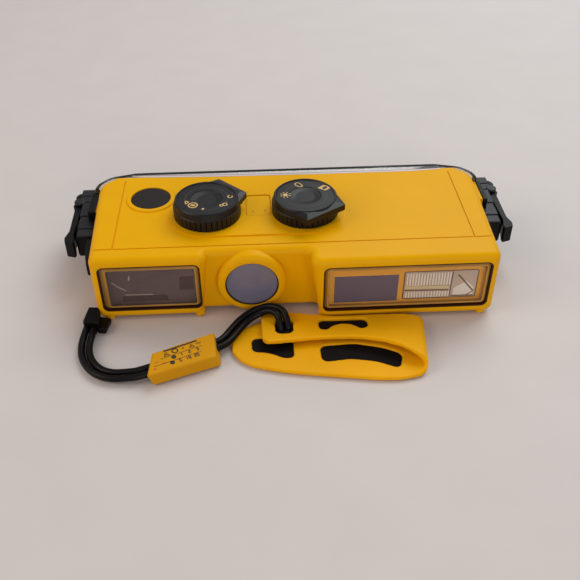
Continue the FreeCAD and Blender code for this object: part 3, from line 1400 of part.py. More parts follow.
# Each row is one cross-section of the grip: its near edge and its far edge, as x, y from the front, z.
GRIP_SECTIONS = [
    ((-14.4, -17.2, 5.1), (-14.4, 0.6, 3.3)),
    ((-4.0, -16.6, 5.0), (-4.0, 1.8, 3.3)),
    ((6.0, -15.9, 5.1), (5.0, 0.4, 3.2)),
    ((15.0, -16.0, 5.2), (15.0, -1.3, 3.1)),
    ((26.3, -17.6, 5.9), (27.0, -1.5, 3.2)),
    ((39.2, -23.6, 6.9), (40.0, -1.9, 3.5)),
    ((44.5, -27.8, 6.4), (47.5, -3.4, 4.1)),
    ((47.8, -31.0, 4.5), (50.8, -5.8, 3.3)),
    ((47.0, -33.4, 2.1), (49.8, -7.4, 1.9)),
    ((43.6, -34.8, 1.1), (46.4, -7.6, 1.1)),
    ((36.6, -35.9, 1.0), (38.4, -6.4, 1.0)),
    ((21.5, -34.3, 1.0), (24.6, -4.0, 1.0)),
    ((5.1, -31.7, 1.0), (8.0, -2.2, 1.0)),
    ((-6.0, -29.6, 1.0), (-4.0, -1.0, 1.0)),
    ((-15.2, -27.0, 1.0), (-13.6, -1.0, 1.0)),
    ((-22.4, -23.2, 1.0), (-21.2, -4.2, 1.0)),
    ((-26.4, -17.6, 1.0), (-26.4, -11.4, 1.0)),
]
BETWEEN_LAYERS, ABOVE_GRIP = 2.1, 12.0


def grip_band():
    """A folded rubber band: four edge curves through the cross-sections' corners."""
    near = [Vector(n[0], front_y + n[1], n[2]) for n, f in GRIP_SECTIONS]
    far = [Vector(f[0], front_y + f[1], f[2]) for n, f in GRIP_SECTIONS]
    middles = [(a + b) * 0.5 for a, b in zip(near, far)]
    last = len(middles) - 1
    sections = []
    for i, (a, b) in enumerate(zip(near, far)):
        along = middles[min(last, i + 1)] - middles[max(0, i - 1)]
        lift = along.cross(b - a).normalize() * (size.grip_thickness / 2)
        sections.append([a - lift, b - lift, b + lift, a + lift])
    lengths = [0.0]
    for before, after in zip(middles, middles[1:]):
        lengths.append(lengths[-1] + (after - before).Length)
    curves = []
    for corner in range(4):
        curve = Part.BSplineCurve()
        curve.interpolate(Points=[section[corner] for section in sections], Parameters=lengths)
        curves.append(curve)
    stations = [lengths[0]]
    for before, after in zip(lengths, lengths[1:]):
        stations += [(before + after) / 2, after]
    rings = [[curve.value(station) for curve in curves] for station in stations]
    faces = []
    for here, there in zip(rings, rings[1:]):
        for i in range(4):
            first = Part.LineSegment(here[i], here[(i + 1) % 4]).toShape()
            second = Part.LineSegment(there[i], there[(i + 1) % 4]).toShape()
            faces.append(Part.makeRuledSurface(first, second, 1))
    for ring in (rings[0], rings[-1]):
        faces.append(Part.Face(Part.makePolygon(ring + ring[:1])))
    shell = Part.makeShell(faces)
    shell.sewShape()
    band = Part.makeSolid(shell)
    if band.Volume < 0:
        band.reverse()
    return band


def slot_face(points):
    wire, radii = soft_path([Vector(x, front_y + y, 0) for x, y in points], True, 2.6)
    return Part.Face(wire)


def slot_tool(face, low, high):
    """A cutter with a slot's outline between two heights."""
    tool = face.extrude(Vector(0, 0, high - low))
    tool.translate(Vector(0, 0, low))
    return tool


# Outlines of the openings in the grip's two layers, as x, y from the front
LOWER_SLOTS = [
    [(-18.8, -10.5), (-18.4, -18.4), (-13.5, -18.8), (-9.6, -20.3), (-6.4, -22.5), (-2.2, -22.5),
     (-2.0, -10.5)],
    [(8.2, -16.4), (22.0, -15.6), (33.0, -18.6), (40.4, -22.6), (38.2, -30.8), (29.5, -26.4), (20.0, -24.4),
     (8.6, -25.6)],
]
UPPER_SLOTS = [
    [(8.5, -3.4), (28.5, -3.8), (28.3, -9.8), (25.7, -11.8), (22.0, -7.9), (18.4, -7.0), (14.8, -7.7),
     (11.2, -11.2), (8.6, -10.0)],
    [(-9.0, -12.4), (-9.0, -3.0), (-1.8, -3.0), (-1.8, -12.4)],
]


def make_grip():
    band = grip_band()
    for points in LOWER_SLOTS:
        band = band.cut(slot_tool(slot_face(points), -0.5, BETWEEN_LAYERS))
    for points in UPPER_SLOTS:
        band = band.cut(slot_tool(slot_face(points), BETWEEN_LAYERS, ABOVE_GRIP))
    node("strap_grip", in_code("grip", band))
    inserts = []
    for points in LOWER_SLOTS:
        face = slot_face(points).makeOffset2D(-size.insert_gap)
        inserts.append(slot_tool(face, size.insert_base_z, size.insert_top_z))
    node("grip_core", in_code("core", Part.makeCompound(inserts)))


make_housing()
make_windows()
make_flash_panel()
make_reflector()
make_port()
make_lens()
make_chassis()
make_shutter_and_stops()
make_cartridge()
make_finder()
make_electronics()
make_controls()
make_bottom_fittings()
make_cover()
make_lug(make_latches())
make_cords()
make_tag()
make_clip()
make_grip()
doc.recompute()

problems = []
for thing in doc.Objects:
    if "Invalid" in thing.State or "Error" in thing.State:
        problems.append(f"{thing.Name}: {thing.State} {thing.getStatusString()}")
for solid in NODES:
    if solid.Shape.isNull() or not solid.Shape.isValid() or not solid.Shape.Solids:
        problems.append(f"{solid.Label}: no valid solid")
if problems:
    print("\n".join(problems))
    sys.exit(1)

os.makedirs("parts", exist_ok=True)
for solid in NODES:
    solid.Shape.exportStep(f"parts/{solid.Label}.step")
print(f"{len(NODES)} sub-parts written")
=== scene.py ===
import math

import bmesh
import bpy
from mathutils import Matrix, Vector


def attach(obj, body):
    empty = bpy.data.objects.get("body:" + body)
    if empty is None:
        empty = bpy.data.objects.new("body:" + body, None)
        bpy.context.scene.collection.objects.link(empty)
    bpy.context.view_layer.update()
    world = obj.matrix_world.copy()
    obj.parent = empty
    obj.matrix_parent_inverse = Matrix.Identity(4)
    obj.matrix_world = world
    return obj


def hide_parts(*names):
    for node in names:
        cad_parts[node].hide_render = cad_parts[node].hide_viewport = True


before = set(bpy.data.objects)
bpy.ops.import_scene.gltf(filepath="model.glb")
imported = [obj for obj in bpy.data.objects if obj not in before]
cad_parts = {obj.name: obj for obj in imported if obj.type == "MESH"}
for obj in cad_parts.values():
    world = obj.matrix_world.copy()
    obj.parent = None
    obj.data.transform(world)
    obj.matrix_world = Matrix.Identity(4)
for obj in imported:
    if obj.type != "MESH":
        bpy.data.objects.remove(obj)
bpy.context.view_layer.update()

MM = 0.001
FRONT = -36.5


def at(x, y, z):
    """A point in metres, from millimetres, with y counted from the flash module's front."""
    return Vector((x * MM, (FRONT + y) * MM, z * MM))


# Camera, floor and light

CAMERA_AT = at(-16.1, -240.9, 213.5)
CAMERA_AIM = at(-2.7, -2.6, 19.5)
CAMERA_ROLL = math.radians(-0.17)
LENS = 48.36
LIGHT_AIM = Vector((0.0, 0.0, 0.02))
ROOM_COLOUR = (0.80, 0.78, 0.78, 1.0)
ROOM_STRENGTH = 0.44
FLOOR_HALF_SIZE = 2.0
FLOOR_LEVEL = -0.0002


def set_camera():
    data = bpy.data.cameras.new("camera")
    data.sensor_width = 36.0
    data.lens = LENS
    data.clip_start = 0.01
    data.clip_end = 20.0
    camera = bpy.data.objects.new("camera", data)
    bpy.context.scene.collection.objects.link(camera)
    look = (CAMERA_AIM - CAMERA_AT).to_track_quat("-Z", "Y").to_matrix().to_4x4()
    camera.matrix_world = Matrix.Translation(CAMERA_AT) @ look @ Matrix.Rotation(CAMERA_ROLL, 4, "Z")
    bpy.context.scene.camera = camera


def area_light(name, place, size, power, colour):
    """A rectangle of light that faces the camera body."""
    data = bpy.data.lights.new(name, "AREA")
    data.shape = "RECTANGLE"
    data.size, data.size_y = size
    data.energy = power
    data.color = colour
    lamp = bpy.data.objects.new(name, data)
    bpy.context.scene.collection.objects.link(lamp)
    facing = (LIGHT_AIM - place).to_track_quat("-Z", "Y").to_matrix().to_4x4()
    lamp.matrix_world = Matrix.Translation(place) @ facing


def set_light():
    area_light("softbox_behind", Vector((0.42, 0.55, 0.85)), (0.9, 0.7), 7.6, (0.93, 1.0, 0.98))
    area_light("warm_left", Vector((-0.8, -0.2, 0.6)), (0.6, 0.6), 3.0, (1.0, 0.85, 0.68))
    area_light("fill_front", Vector((0.2, -0.9, 0.35)), (0.7, 0.4), 2.5, (1.0, 0.91, 0.80))
    world = bpy.data.worlds.new("studio")
    world.use_nodes = True
    background = world.node_tree.nodes["Background"]
    background.inputs["Color"].default_value = ROOM_COLOUR
    background.inputs["Strength"].default_value = ROOM_STRENGTH
    bpy.context.scene.world = world
    bpy.context.scene.view_settings.view_transform = "Standard"


# Shader groups

GRAIN_DEPTH = 0.00005


def new_group(name, inputs, outputs):
    group = bpy.data.node_groups.new(name, "ShaderNodeTree")
    for kind, socket, value in inputs:
        item = group.interface.new_socket(socket, in_out="INPUT", socket_type=f"NodeSocket{kind}")
        item.default_value = value
    for kind, socket in outputs:
        group.interface.new_socket(socket, in_out="OUTPUT", socket_type=f"NodeSocket{kind}")
    return group, group.nodes.new("NodeGroupInput"), group.nodes.new("NodeGroupOutput")


def link(tree, source, target):
    tree.links.new(source, target)


def object_noise(group, detail, scale):
    """Noise in the piece's own coordinates. The scale is a number or a socket."""
    place = group.nodes.new("ShaderNodeTexCoord")
    noise = group.nodes.new("ShaderNodeTexNoise")
    noise.inputs["Detail"].default_value = detail
    link(group, place.outputs["Object"], noise.inputs["Vector"])
    if isinstance(scale, bpy.types.NodeSocket):
        link(group, scale, noise.inputs["Scale"])
    else:
        noise.inputs["Scale"].default_value = scale
    return noise


def make_moulded_skin():
    """Slow colour drift, handling marks and a fine grain, as on moulded plastic or rubber."""
    group, given, result = new_group(
        "moulded_skin",
        [("Color", "Colour", (0.8, 0.8, 0.8, 1.0)), ("Float", "Drift", 0.06), ("Float", "Roughness", 0.3),
         ("Float", "Marks", 0.08), ("Float", "Grain", 0.1), ("Float", "Grain Scale", 1800.0)],
        [("Color", "Colour"), ("Float", "Roughness"), ("Vector", "Normal")],
    )
    drift = object_noise(group, 3.0, 38.0)
    shade = group.nodes.new("ShaderNodeMapRange")
    link(group, drift.outputs["Fac"], shade.inputs["Value"])
    shade.inputs["From Min"].default_value = 0.3
    shade.inputs["From Max"].default_value = 0.7
    low = group.nodes.new("ShaderNodeMath")
    low.operation = "SUBTRACT"
    low.inputs[0].default_value = 1.0
    link(group, given.outputs["Drift"], low.inputs[1])
    link(group, low.outputs[0], shade.inputs["To Min"])
    shade.inputs["To Max"].default_value = 1.0
    tint = group.nodes.new("ShaderNodeVectorMath")
    tint.operation = "SCALE"
    link(group, given.outputs["Colour"], tint.inputs[0])
    link(group, shade.outputs["Result"], tint.inputs["Scale"])
    link(group, tint.outputs["Vector"], result.inputs["Colour"])
    smear = object_noise(group, 6.0, 160.0)
    marks = group.nodes.new("ShaderNodeMath")
    marks.operation = "MULTIPLY_ADD"
    link(group, smear.outputs["Fac"], marks.inputs[0])
    link(group, given.outputs["Marks"], marks.inputs[1])
    link(group, given.outputs["Roughness"], marks.inputs[2])
    link(group, marks.outputs[0], result.inputs["Roughness"])
    grain = object_noise(group, 2.0, given.outputs["Grain Scale"])
    bump = group.nodes.new("ShaderNodeBump")
    bump.inputs["Distance"].default_value = GRAIN_DEPTH
    link(group, given.outputs["Grain"], bump.inputs["Strength"])
    link(group, grain.outputs["Fac"], bump.inputs["Height"])
    link(group, bump.outputs["Normal"], result.inputs["Normal"])
    return group


SKIN = make_moulded_skin()


def srgb(red, green, blue):
    """A colour as it looks on screen, 0 to 255, made linear."""
    def linear(level):
        level /= 255
        return level / 12.92 if level <= 0.04045 else ((level + 0.055) / 1.055) ** 2.4
    return (linear(red), linear(green), linear(blue), 1.0)


def skin_material(name, colour, roughness=0.3, drift=0.06, marks=0.08, grain=0.1, grain_scale=1800.0,
                  **sockets):
    """A material whose surface comes from the moulded skin group. The colour is as seen on screen."""
    material = bpy.data.materials.new(name)
    material.use_nodes = True
    tree = material.node_tree
    shader = tree.nodes["Principled BSDF"]
    skin = tree.nodes.new("ShaderNodeGroup")
    skin.node_tree = SKIN
    values = {"Colour": srgb(*colour), "Drift": drift, "Roughness": roughness, "Marks": marks, "Grain": grain,
              "Grain Scale": grain_scale}
    for socket, value in values.items():
        skin.inputs[socket].default_value = value
    link(tree, skin.outputs["Colour"], shader.inputs["Base Color"])
    link(tree, skin.outputs["Roughness"], shader.inputs["Roughness"])
    link(tree, skin.outputs["Normal"], shader.inputs["Normal"])
    for socket, value in sockets.items():
        shader.inputs[socket.replace("_", " ")].default_value = value
    return material


LOOKS = {
    "housing_yellow": dict(colour=(231, 169, 2), roughness=0.30, drift=0.05, marks=0.10, grain=0.12,
                           Specular_IOR_Level=0.07),
    "button_dark": dict(colour=(26, 12, 12), roughness=0.42, drift=0.1, Specular_IOR_Level=0.3),
    "band_yellow": dict(colour=(238, 171, 3), roughness=0.42, drift=0.10, marks=0.1, grain=0.25,
                        grain_scale=900.0, Specular_IOR_Level=0.10),
    "slider_yellow": dict(colour=(208, 146, 4), roughness=0.4, drift=0.07, Specular_IOR_Level=0.12),
    "panel_yellow": dict(colour=(250, 180, 66), roughness=0.35, Specular_IOR_Level=0.3),
    "dial_black": dict(colour=(14, 9, 13), roughness=0.34, drift=0.2, marks=0.15, grain=0.3,
                       grain_scale=1400.0, Specular_IOR_Level=0.35),
    "latch_black": dict(colour=(7, 5, 7), roughness=0.34, drift=0.2, marks=0.15, grain=0.25,
                        Specular_IOR_Level=0.18),
    "inner_black": dict(colour=(10, 7, 8), roughness=0.7, drift=0.1, Specular_IOR_Level=0.15),
    "cord_black": dict(colour=(5, 2, 3), roughness=0.3, drift=0.2, marks=0.18, grain=0.2, grain_scale=900.0,
                       Specular_IOR_Level=0.2),
    "seal_black": dict(colour=(28, 18, 14), roughness=0.45, drift=0.1),
    "gasket_brown": dict(colour=(54, 24, 12), roughness=0.45, drift=0.15, Specular_IOR_Level=0.3),
    # Latch black made a lighter bluish grey: painted sheen on the latch slabs and knuckles.
    "latch_sheen_grey": dict(colour=(30, 29, 36), roughness=0.34, drift=0.25, marks=0.15, grain=0.3,
                      Specular_IOR_Level=0.3),
    "dish_line": dict(colour=(50, 44, 56), roughness=0.4, drift=0.1),
    "speck_grey": dict(colour=(122, 110, 114), roughness=0.5, drift=0.3),
    # Darker ochre: painted shade in the index box's two dimples.
    "dimple_shade_ochre": dict(colour=(198, 132, 4), roughness=0.45, drift=0.1, Specular_IOR_Level=0.1),
    # Pale strip and thin line on the clear back's top edge: painted light and painted dark reflection.
    "clear_edge_light_pale": dict(colour=(205, 197, 202), roughness=0.25, drift=0.05),
    "clear_edge_reflection_line": dict(colour=(148, 122, 118), roughness=0.3, drift=0.1),
    "plate_grey": dict(colour=(83, 85, 122), roughness=0.4, drift=0.1),
    "cell_sleeve": dict(colour=(120, 120, 126), roughness=0.35, Metallic=0.6),
    "board_green": dict(colour=(30, 84, 52), roughness=0.4, drift=0.3),
    "steel": dict(colour=(178, 178, 180), roughness=0.28, drift=0.08, Metallic=1.0),
    "brass": dict(colour=(196, 160, 92), roughness=0.3, drift=0.1, Metallic=1.0),
    "mirror_bright": dict(colour=(226, 226, 222), roughness=0.12, drift=0.03, marks=0.05, Metallic=1.0),
    # Gold of the window bevels: painted reflection in the clear panes' bevels.
    "bevel_reflection_gold": dict(colour=(196, 146, 66), roughness=0.3, drift=0.45, grain=0.02),
    # Colours seen inside the finder: a dark purplish sheet of painted shade for its dark inside, with darker
    # shapes, pale streaks and specks on that sheet.
    "finder_shade_dark": dict(colour=(102, 87, 95), roughness=0.4, drift=0.5, grain=0.02),
    "finder_view_black": dict(colour=(60, 48, 56), roughness=0.6, drift=0.3, grain=0.02),
    "streak_pale": dict(colour=(190, 176, 170), roughness=0.5, drift=0.3, grain=0.02),
    "lamp_grey": dict(colour=(216, 196, 180), roughness=0.4, drift=0.3, grain=0.02),
    "lamp_white": dict(colour=(252, 246, 240), roughness=0.3, drift=0.1, grain=0.02),
    "lamp_amber": dict(colour=(232, 216, 168), roughness=0.3, drift=0.1, grain=0.02),
    "lamp_dark": dict(colour=(104, 74, 52), roughness=0.4, drift=0.15, grain=0.02),
    "icon_gold": dict(colour=(214, 176, 112), roughness=0.4, drift=0.05),
    "print_black": dict(colour=(36, 24, 10), roughness=0.5, drift=0.1),
    "print_red": dict(colour=(206, 78, 30), roughness=0.5, drift=0.1),
    "cover_clear": dict(colour=(236, 238, 236), roughness=0.06, drift=0.02, marks=0.05, grain=0.03,
                        Transmission_Weight=1.0, IOR=1.46),
    "pane_clear": dict(colour=(170, 140, 110), roughness=0.04, drift=0.03, marks=0.03, grain=0.02,
                       Alpha=0.10),
    "lamp_clear": dict(colour=(238, 236, 230), roughness=0.08, drift=0.02, marks=0.05, grain=0.03,
                       Transmission_Weight=1.0, IOR=1.46),
    "port_grey": dict(colour=(114, 112, 135), roughness=0.24, drift=0.12, marks=0.06, grain=0.02,
                      Coat_Weight=0.3, Coat_Roughness=0.15),
}
MATERIALS = {name: skin_material(name, **look) for name, look in LOOKS.items()}

DRESS = {
    "housing_yellow": ["front_housing"],
    "button_dark": ["shutter_button"],
    "panel_yellow": ["flash_bezel"],
    "dial_black": ["focus_dial", "exposure_dial"],
    "latch_black": ["latch_bracket_right", "latch_bracket_left", "latch_lever_right", "latch_lever_left",
                    "latch_catch_right", "latch_catch_left", "latch_pin_right", "latch_pin_left", "strap_lug",
                    "strap_clip"],
    "inner_black": ["inner_chassis", "finder_hood", "lens_barrel", "shutter_blade", "film_cartridge",
                    "battery_cradle", "advance_lever", "grip_core", "flash_capacitor"],
    "seal_black": ["port_ring", "cover_gasket", "dial_seals"],
    "gasket_brown": ["finder_gasket", "flash_gasket"],
    "plate_grey": ["label_plate"],
    "cell_sleeve": ["aa_battery"],
    "board_green": ["circuit_board"],
    "steel": ["aperture_disc", "battery_contacts", "focus_shaft", "exposure_shaft"],
    "brass": ["tripod_socket"],
    "mirror_bright": ["flash_reflector"],
    "cover_clear": ["back_cover"],
    "pane_clear": ["finder_window", "flash_window", "finder_objective", "finder_eyepiece"],
    "lamp_clear": ["flash_lens", "flash_tube"],
    "port_grey": ["port_glass", "front_element", "rear_element"],
    "slider_yellow": ["strap_tag"],
    "band_yellow": ["strap_grip"],
}


def dress_nodes():
    for name, nodes in DRESS.items():
        for node in nodes:
            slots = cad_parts[node].data.materials
            slots.clear()
            slots.append(MATERIALS[name])


# Making pieces

def new_piece(name, mesh, material, body):
    piece = bpy.data.objects.new(name, mesh)
    bpy.context.scene.collection.objects.link(piece)
    mesh.materials.clear()
    mesh.materials.append(MATERIALS[material])
    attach(piece, body)
    return piece


def mesh_of(name, shape):
    """A mesh from a bmesh, with its normals put right."""
    bmesh.ops.recalc_face_normals(shape, faces=shape.faces)
    mesh = bpy.data.meshes.new(name)
    shape.to_mesh(mesh)
    shape.free()
    return mesh


def join_rings(shape, here, there):
    """Side faces between two closed rings of corners."""
    for i in range(len(here)):
        j = (i + 1) % len(here)
        shape.faces.new((here[i], here[j], there[j], there[i]))


def add_prism(shape, first, last):
    """A solid between two outlines of as many points."""
    first = [shape.verts.new(point) for point in first]
    last = [shape.verts.new(point) for point in last]
    shape.faces.new(last)
    shape.faces.new(first[::-1])
    join_rings(shape, first, last)


# Floor

def lay_floor():
    shape = bmesh.new()
    bmesh.ops.create_grid(shape, x_segments=1, y_segments=1, size=FLOOR_HALF_SIZE)
    mesh = mesh_of("floor", shape)
    floor = bpy.data.objects.new("floor", mesh)
    bpy.context.scene.collection.objects.link(floor)
    floor.location.z = FLOOR_LEVEL
    mesh.materials.append(skin_material("floor_pale", (206, 198, 198), 0.6, 0.03, grain=0.02))


# Wrist strap

# The middle line of the two strands, from the end clip to the band
STRAP_ROUTE = [
    (-83.5, -0.8, 2.6), (-84.1, -6.2, 2.6), (-84.5, -11.6, 1.7), (-83.5, -17.0, 1.7), (-80.9, -22.3, 1.7),
    (-77.0, -26.4, 1.8), (-72.0, -28.5, 1.9), (-66.4, -28.9, 2.4), (-60.6, -29.1, 3.1),
    (-32.2, -15.9, 3.5), (-28.4, -12.6, 3.5), (-25.4, -7.4, 3.6), (-21.8, -2.4, 4.2), (-17.0, 0.9, 5.5),
    (-11.6, 1.2, 7.4), (-7.4, -1.4, 8.4), (-5.6, -5.4, 7.4), (-5.2, -8.2, 3.6),
]
STRAND_SPACING = 3.1
STRAND_SIDE = {"outer": -1, "inner": 1}
CORD_RADIUS = 1.4


def beside_route(side):
    """One strand's points, half a spacing beside the pair's middle line."""
    strand = []
    last = len(STRAP_ROUTE) - 1
    for i, (x, y, z) in enumerate(STRAP_ROUTE):
        before, after = STRAP_ROUTE[max(0, i - 1)], STRAP_ROUTE[min(last, i + 1)]
        arriving = Vector((x - before[0], y - before[1]))
        leaving = Vector((after[0] - x, after[1] - y))
        if i == 0:
            arriving = leaving.copy()
        if i == last:
            leaving = arriving.copy()
        arriving.normalize()
        along = (arriving + leaving.normalized()).normalized()
        shift = side * STRAND_SPACING / 2 / along.dot(arriving)
        strand.append(at(x - along.y * shift, y + along.x * shift, z))
    return strand


def lay_strand(name, side):
    points = beside_route(side)
    curve = bpy.data.curves.new(f"strand_{name}", "CURVE")
    curve.dimensions = "3D"
    spline = curve.splines.new("NURBS")
    spline.points.add(len(points) - 1)
    for knot, point in zip(spline.points, points):
        knot.co = (*point, 1.0)
    spline.order_u = 3
    spline.use_endpoint_u = True
    spline.resolution_u = 12
    curve.bevel_depth = CORD_RADIUS * MM
    curve.bevel_resolution = 6
    curve.use_fill_caps = True
    strand = bpy.data.objects.new(f"strand_{name}", curve)
    bpy.context.scene.collection.objects.link(strand)
    curve.materials.append(MATERIALS["cord_black"])
    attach(strand, "camera_body")
    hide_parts(f"strap_cord_{name}")
    return strand, points[0]


CORNER, CORNER_RADIUS = (-14.4, -17.2), 3.8
TOP_LAYER_FROM = 2.8
MELT_STEP = 0.00034
SOFTEN_ROUNDS = 10


def round_corner(shape):
    """Rounds the near left corner of the band's top layer."""
    middle = at(CORNER[0] + CORNER_RADIUS, CORNER[1] + CORNER_RADIUS, 0.0)
    for vertex in shape.verts:
        out = vertex.co.xy - middle.xy
        if vertex.co.z > TOP_LAYER_FROM * MM and out.x < 0 and out.y < 0 and out.length > CORNER_RADIUS * MM:
            vertex.co.xy = middle.xy + out.normalized() * (CORNER_RADIUS * MM)


def lay_band():
    """The soft band: the part's own form with its edges melted round."""
    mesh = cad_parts["strap_grip"].data.copy()
    source = bpy.data.objects.new("band_source", mesh)
    source.matrix_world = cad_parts["strap_grip"].matrix_world
    bpy.context.scene.collection.objects.link(source)
    melt = source.modifiers.new("melt", "REMESH")
    melt.mode = "VOXEL"
    melt.voxel_size = MELT_STEP
    melt.use_smooth_shade = True
    soften = source.modifiers.new("soften", "SMOOTH")
    soften.factor = 0.5
    soften.iterations = SOFTEN_ROUNDS
    depsgraph = bpy.context.evaluated_depsgraph_get()
    shape = bmesh.new()
    shape.from_object(source, depsgraph)
    shape.transform(source.matrix_world)
    bpy.data.objects.remove(source)
    round_corner(shape)
    for face in shape.faces:
        face.smooth = True
    band = new_piece("wrist_band", mesh_of("wrist_band", shape), "band_yellow", "camera_body")
    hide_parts("strap_grip")
    return band


def lay_cords():
    strands = {name: lay_strand(name, side) for name, side in STRAND_SIDE.items()}
    on_strap = [fit_clip()] + [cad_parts[node] for node in ("strap_tag", "strap_grip", "grip_core")]


# Printed marks and small fitted pieces

def turned_to(outlines, centre, angle=0.0, scale=1.0):
    """Outlines turned, scaled and moved to their place."""
    c, s = math.cos(math.radians(angle)) * scale, math.sin(math.radians(angle)) * scale
    return [[(centre[0] + x * c - y * s, centre[1] + x * s + y * c) for x, y in outline]
            for outline in outlines]


def ring_line(radius, width, start=0.0, end=360.0, squash=1.0):
    """A thin arc as a chain of four-cornered outlines."""
    steps = max(6, int(abs(end - start) / (15 if radius < 4 else 5)))
    outlines = []
    for i in range(steps):
        corners = []
        for r, k in ((radius, i), (radius, i + 1), (radius - width, i + 1), (radius - width, i)):
            angle = math.radians(start + (end - start) * k / steps)
            corners.append((r * math.cos(angle), r * math.sin(angle) * squash))
        outlines.append(corners)
    return outlines


def disc(radius, squash=1.0, steps=16):
    return [[(radius * math.cos(2 * math.pi * i / steps), radius * math.sin(2 * math.pi * i / steps) * squash)
             for i in range(steps)]]


def bar(start, end, width):
    """A straight line of some width."""
    x, y = end[0] - start[0], end[1] - start[1]
    length = math.hypot(x, y)
    u, v = -y / length * width / 2, x / length * width / 2
    return [[(start[0] + u, start[1] + v), (start[0] - u, start[1] - v),
             (end[0] - u, end[1] - v), (end[0] + u, end[1] + v)]]


def strokes(points, width, closed=False):
    """A chain of straight lines."""
    pairs = list(zip(points, points[1:]))
    if closed:
        pairs.append((points[-1], points[0]))
    return [line for a, b in pairs for line in bar(a, b, width)]


# How far printed marks stand off their face
PRINT_RISE = 0.05
THIN_RISE = 0.03


def level_mark(name, outlines, level, material, body, rise=PRINT_RISE):
    """Thin shapes printed on a level face."""
    shape = bmesh.new()
    for outline in outlines:
        add_prism(shape, [at(x, y, level) for x, y in outline], [at(x, y, level + rise) for x, y in outline])
    return new_piece(name, mesh_of(name, shape), material, body)


def upright_mark(name, outlines, depth, material, rise=PRINT_RISE):
    """Thin shapes on an upright plane at a depth behind the front. Outlines give x and z."""
    shape = bmesh.new()
    for outline in outlines:
        add_prism(shape, [at(x, depth, z) for x, z in outline], [at(x, depth - rise, z) for x, z in outline])
    return new_piece(name, mesh_of(name, shape), material, "camera_body")


# Dial icons

FOCUS_CENTRE = (-35.2, 35.2)
EXPOSURE_CENTRE = (5.9, 35.2)
DIAL_FACE_Z = 39.3
INDEX_FLOOR_Z = 31.5
DISH_RADIUS, DISH_LINE = 9.0, 0.28
DIAL_LINE = 0.42


def mark_index_box():
    # Two flat discs, darker ochre: painted shade in the dimples of the index box.
    dimples = turned_to(disc(0.5), (-16.0, 36.2)) + turned_to(disc(0.5), (-11.0, 36.6))
    level_mark("index_dimples", dimples, INDEX_FLOOR_Z, "dimple_shade_ochre", "camera_body",
               THIN_RISE)


def focus_icons():
    """A portrait, a pair and a far ring, from near to far."""
    line = DIAL_LINE
    portrait = ring_line(2.1, 0.55) + disc(1.1, 0.6)
    portrait += strokes([(-3.9, 2.6), (-3.1, 0.2), (-2.2, 2.2), (-3.9, 2.6)], line)
    pair = ring_line(0.85, line) + strokes([(0.9, -0.5), (2.3, -0.5), (2.3, 1.3), (0.9, 1.3)], line, True)
    far = ring_line(1.15, line, 40, 330)
    return (turned_to(portrait, (-40.6, 30.4), -12) + turned_to(disc(0.55), (-36.4, 27.4))
            + turned_to(pair, (-28.9, 29.6), 12) + turned_to(far, (-25.4, 36.2), 60))


def exposure_icons():
    """A sun, a cloud and a flash card."""
    line = DIAL_LINE
    ray = bar((1.35, 0), (2.25, 0), line)
    rays = [piece for k in range(8) for piece in turned_to(ray, (0, 0), 45 * k + 22)]
    cloud = ring_line(1.25, line, 60, 250) + strokes([(-0.4, -1.2), (1.9, -1.5)], line)
    cloud += turned_to(ring_line(0.95, line, -90, 110), (1.9, -0.55))
    cloud += strokes([(0.6, 1.1), (1.8, 0.4)], line)
    flash = (strokes([(-2.3, -1.5), (-1.2, 1.6), (2.3, 1.6), (1.2, -1.5)], line, True)
             + [[(-1.9, -1.2), (-1.0, 1.3), (-0.2, 1.3), (-1.0, -0.1), (-0.4, -1.2)]]
             + [[(1.9, 1.3), (1.0, -1.2), (0.3, -1.2), (1.1, 0.1), (0.5, 1.3)]])
    return (turned_to(disc(0.95) + rays, (-2.3, 35.9)) + turned_to(cloud, (3.2, 44.2), -35)
            + turned_to(flash, (14.5, 40.6), -32))


def mark_dials():
    level_mark("focus_icons", focus_icons(), DIAL_FACE_Z, "icon_gold", "focus_control")
    for name, centre in (("focus", FOCUS_CENTRE), ("exposure", EXPOSURE_CENTRE)):
        ring = turned_to(ring_line(DISH_RADIUS, DISH_LINE), centre)
        level_mark(f"{name}_dish_line", ring, DIAL_FACE_Z, "dish_line", f"{name}_control",
                   THIN_RISE)
    level_mark("exposure_icons", exposure_icons(), DIAL_FACE_Z, "icon_gold", "exposure_control")


# The slider's printed table

SLIDER_TOP = 6.2
TABLE_TILT = 23.0
DIGIT_HEIGHT = 1.45
# Each digit as chains of points, one wide and two high
DIGITS = {
    "0": [[(0, 0), (1, 0), (1, 2), (0, 2), (0, 0)]],
    "1": [[(0.5, 0), (0.5, 2)]],
    "2": [[(0, 2), (1, 2), (1, 1), (0, 1), (0, 0), (1, 0)]],
    "3": [[(0, 2), (1, 2), (1, 0), (0, 0)], [(0, 1), (1, 1)]],
    "5": [[(1, 2), (0, 2), (0, 1), (1, 1), (1, 0), (0, 0)]],
}


def printed_number(text, centre):
    """A plain number as outlines, from straight strokes."""
    outlines = []
    for i, letter in enumerate(text):
        for run in DIGITS[letter]:
            outlines += strokes([(x * 0.9 + i * 1.5 - len(text) * 0.7, y - 1) for x, y in run], 0.5)
    return turned_to(outlines, centre, TABLE_TILT, DIGIT_HEIGHT / 2)


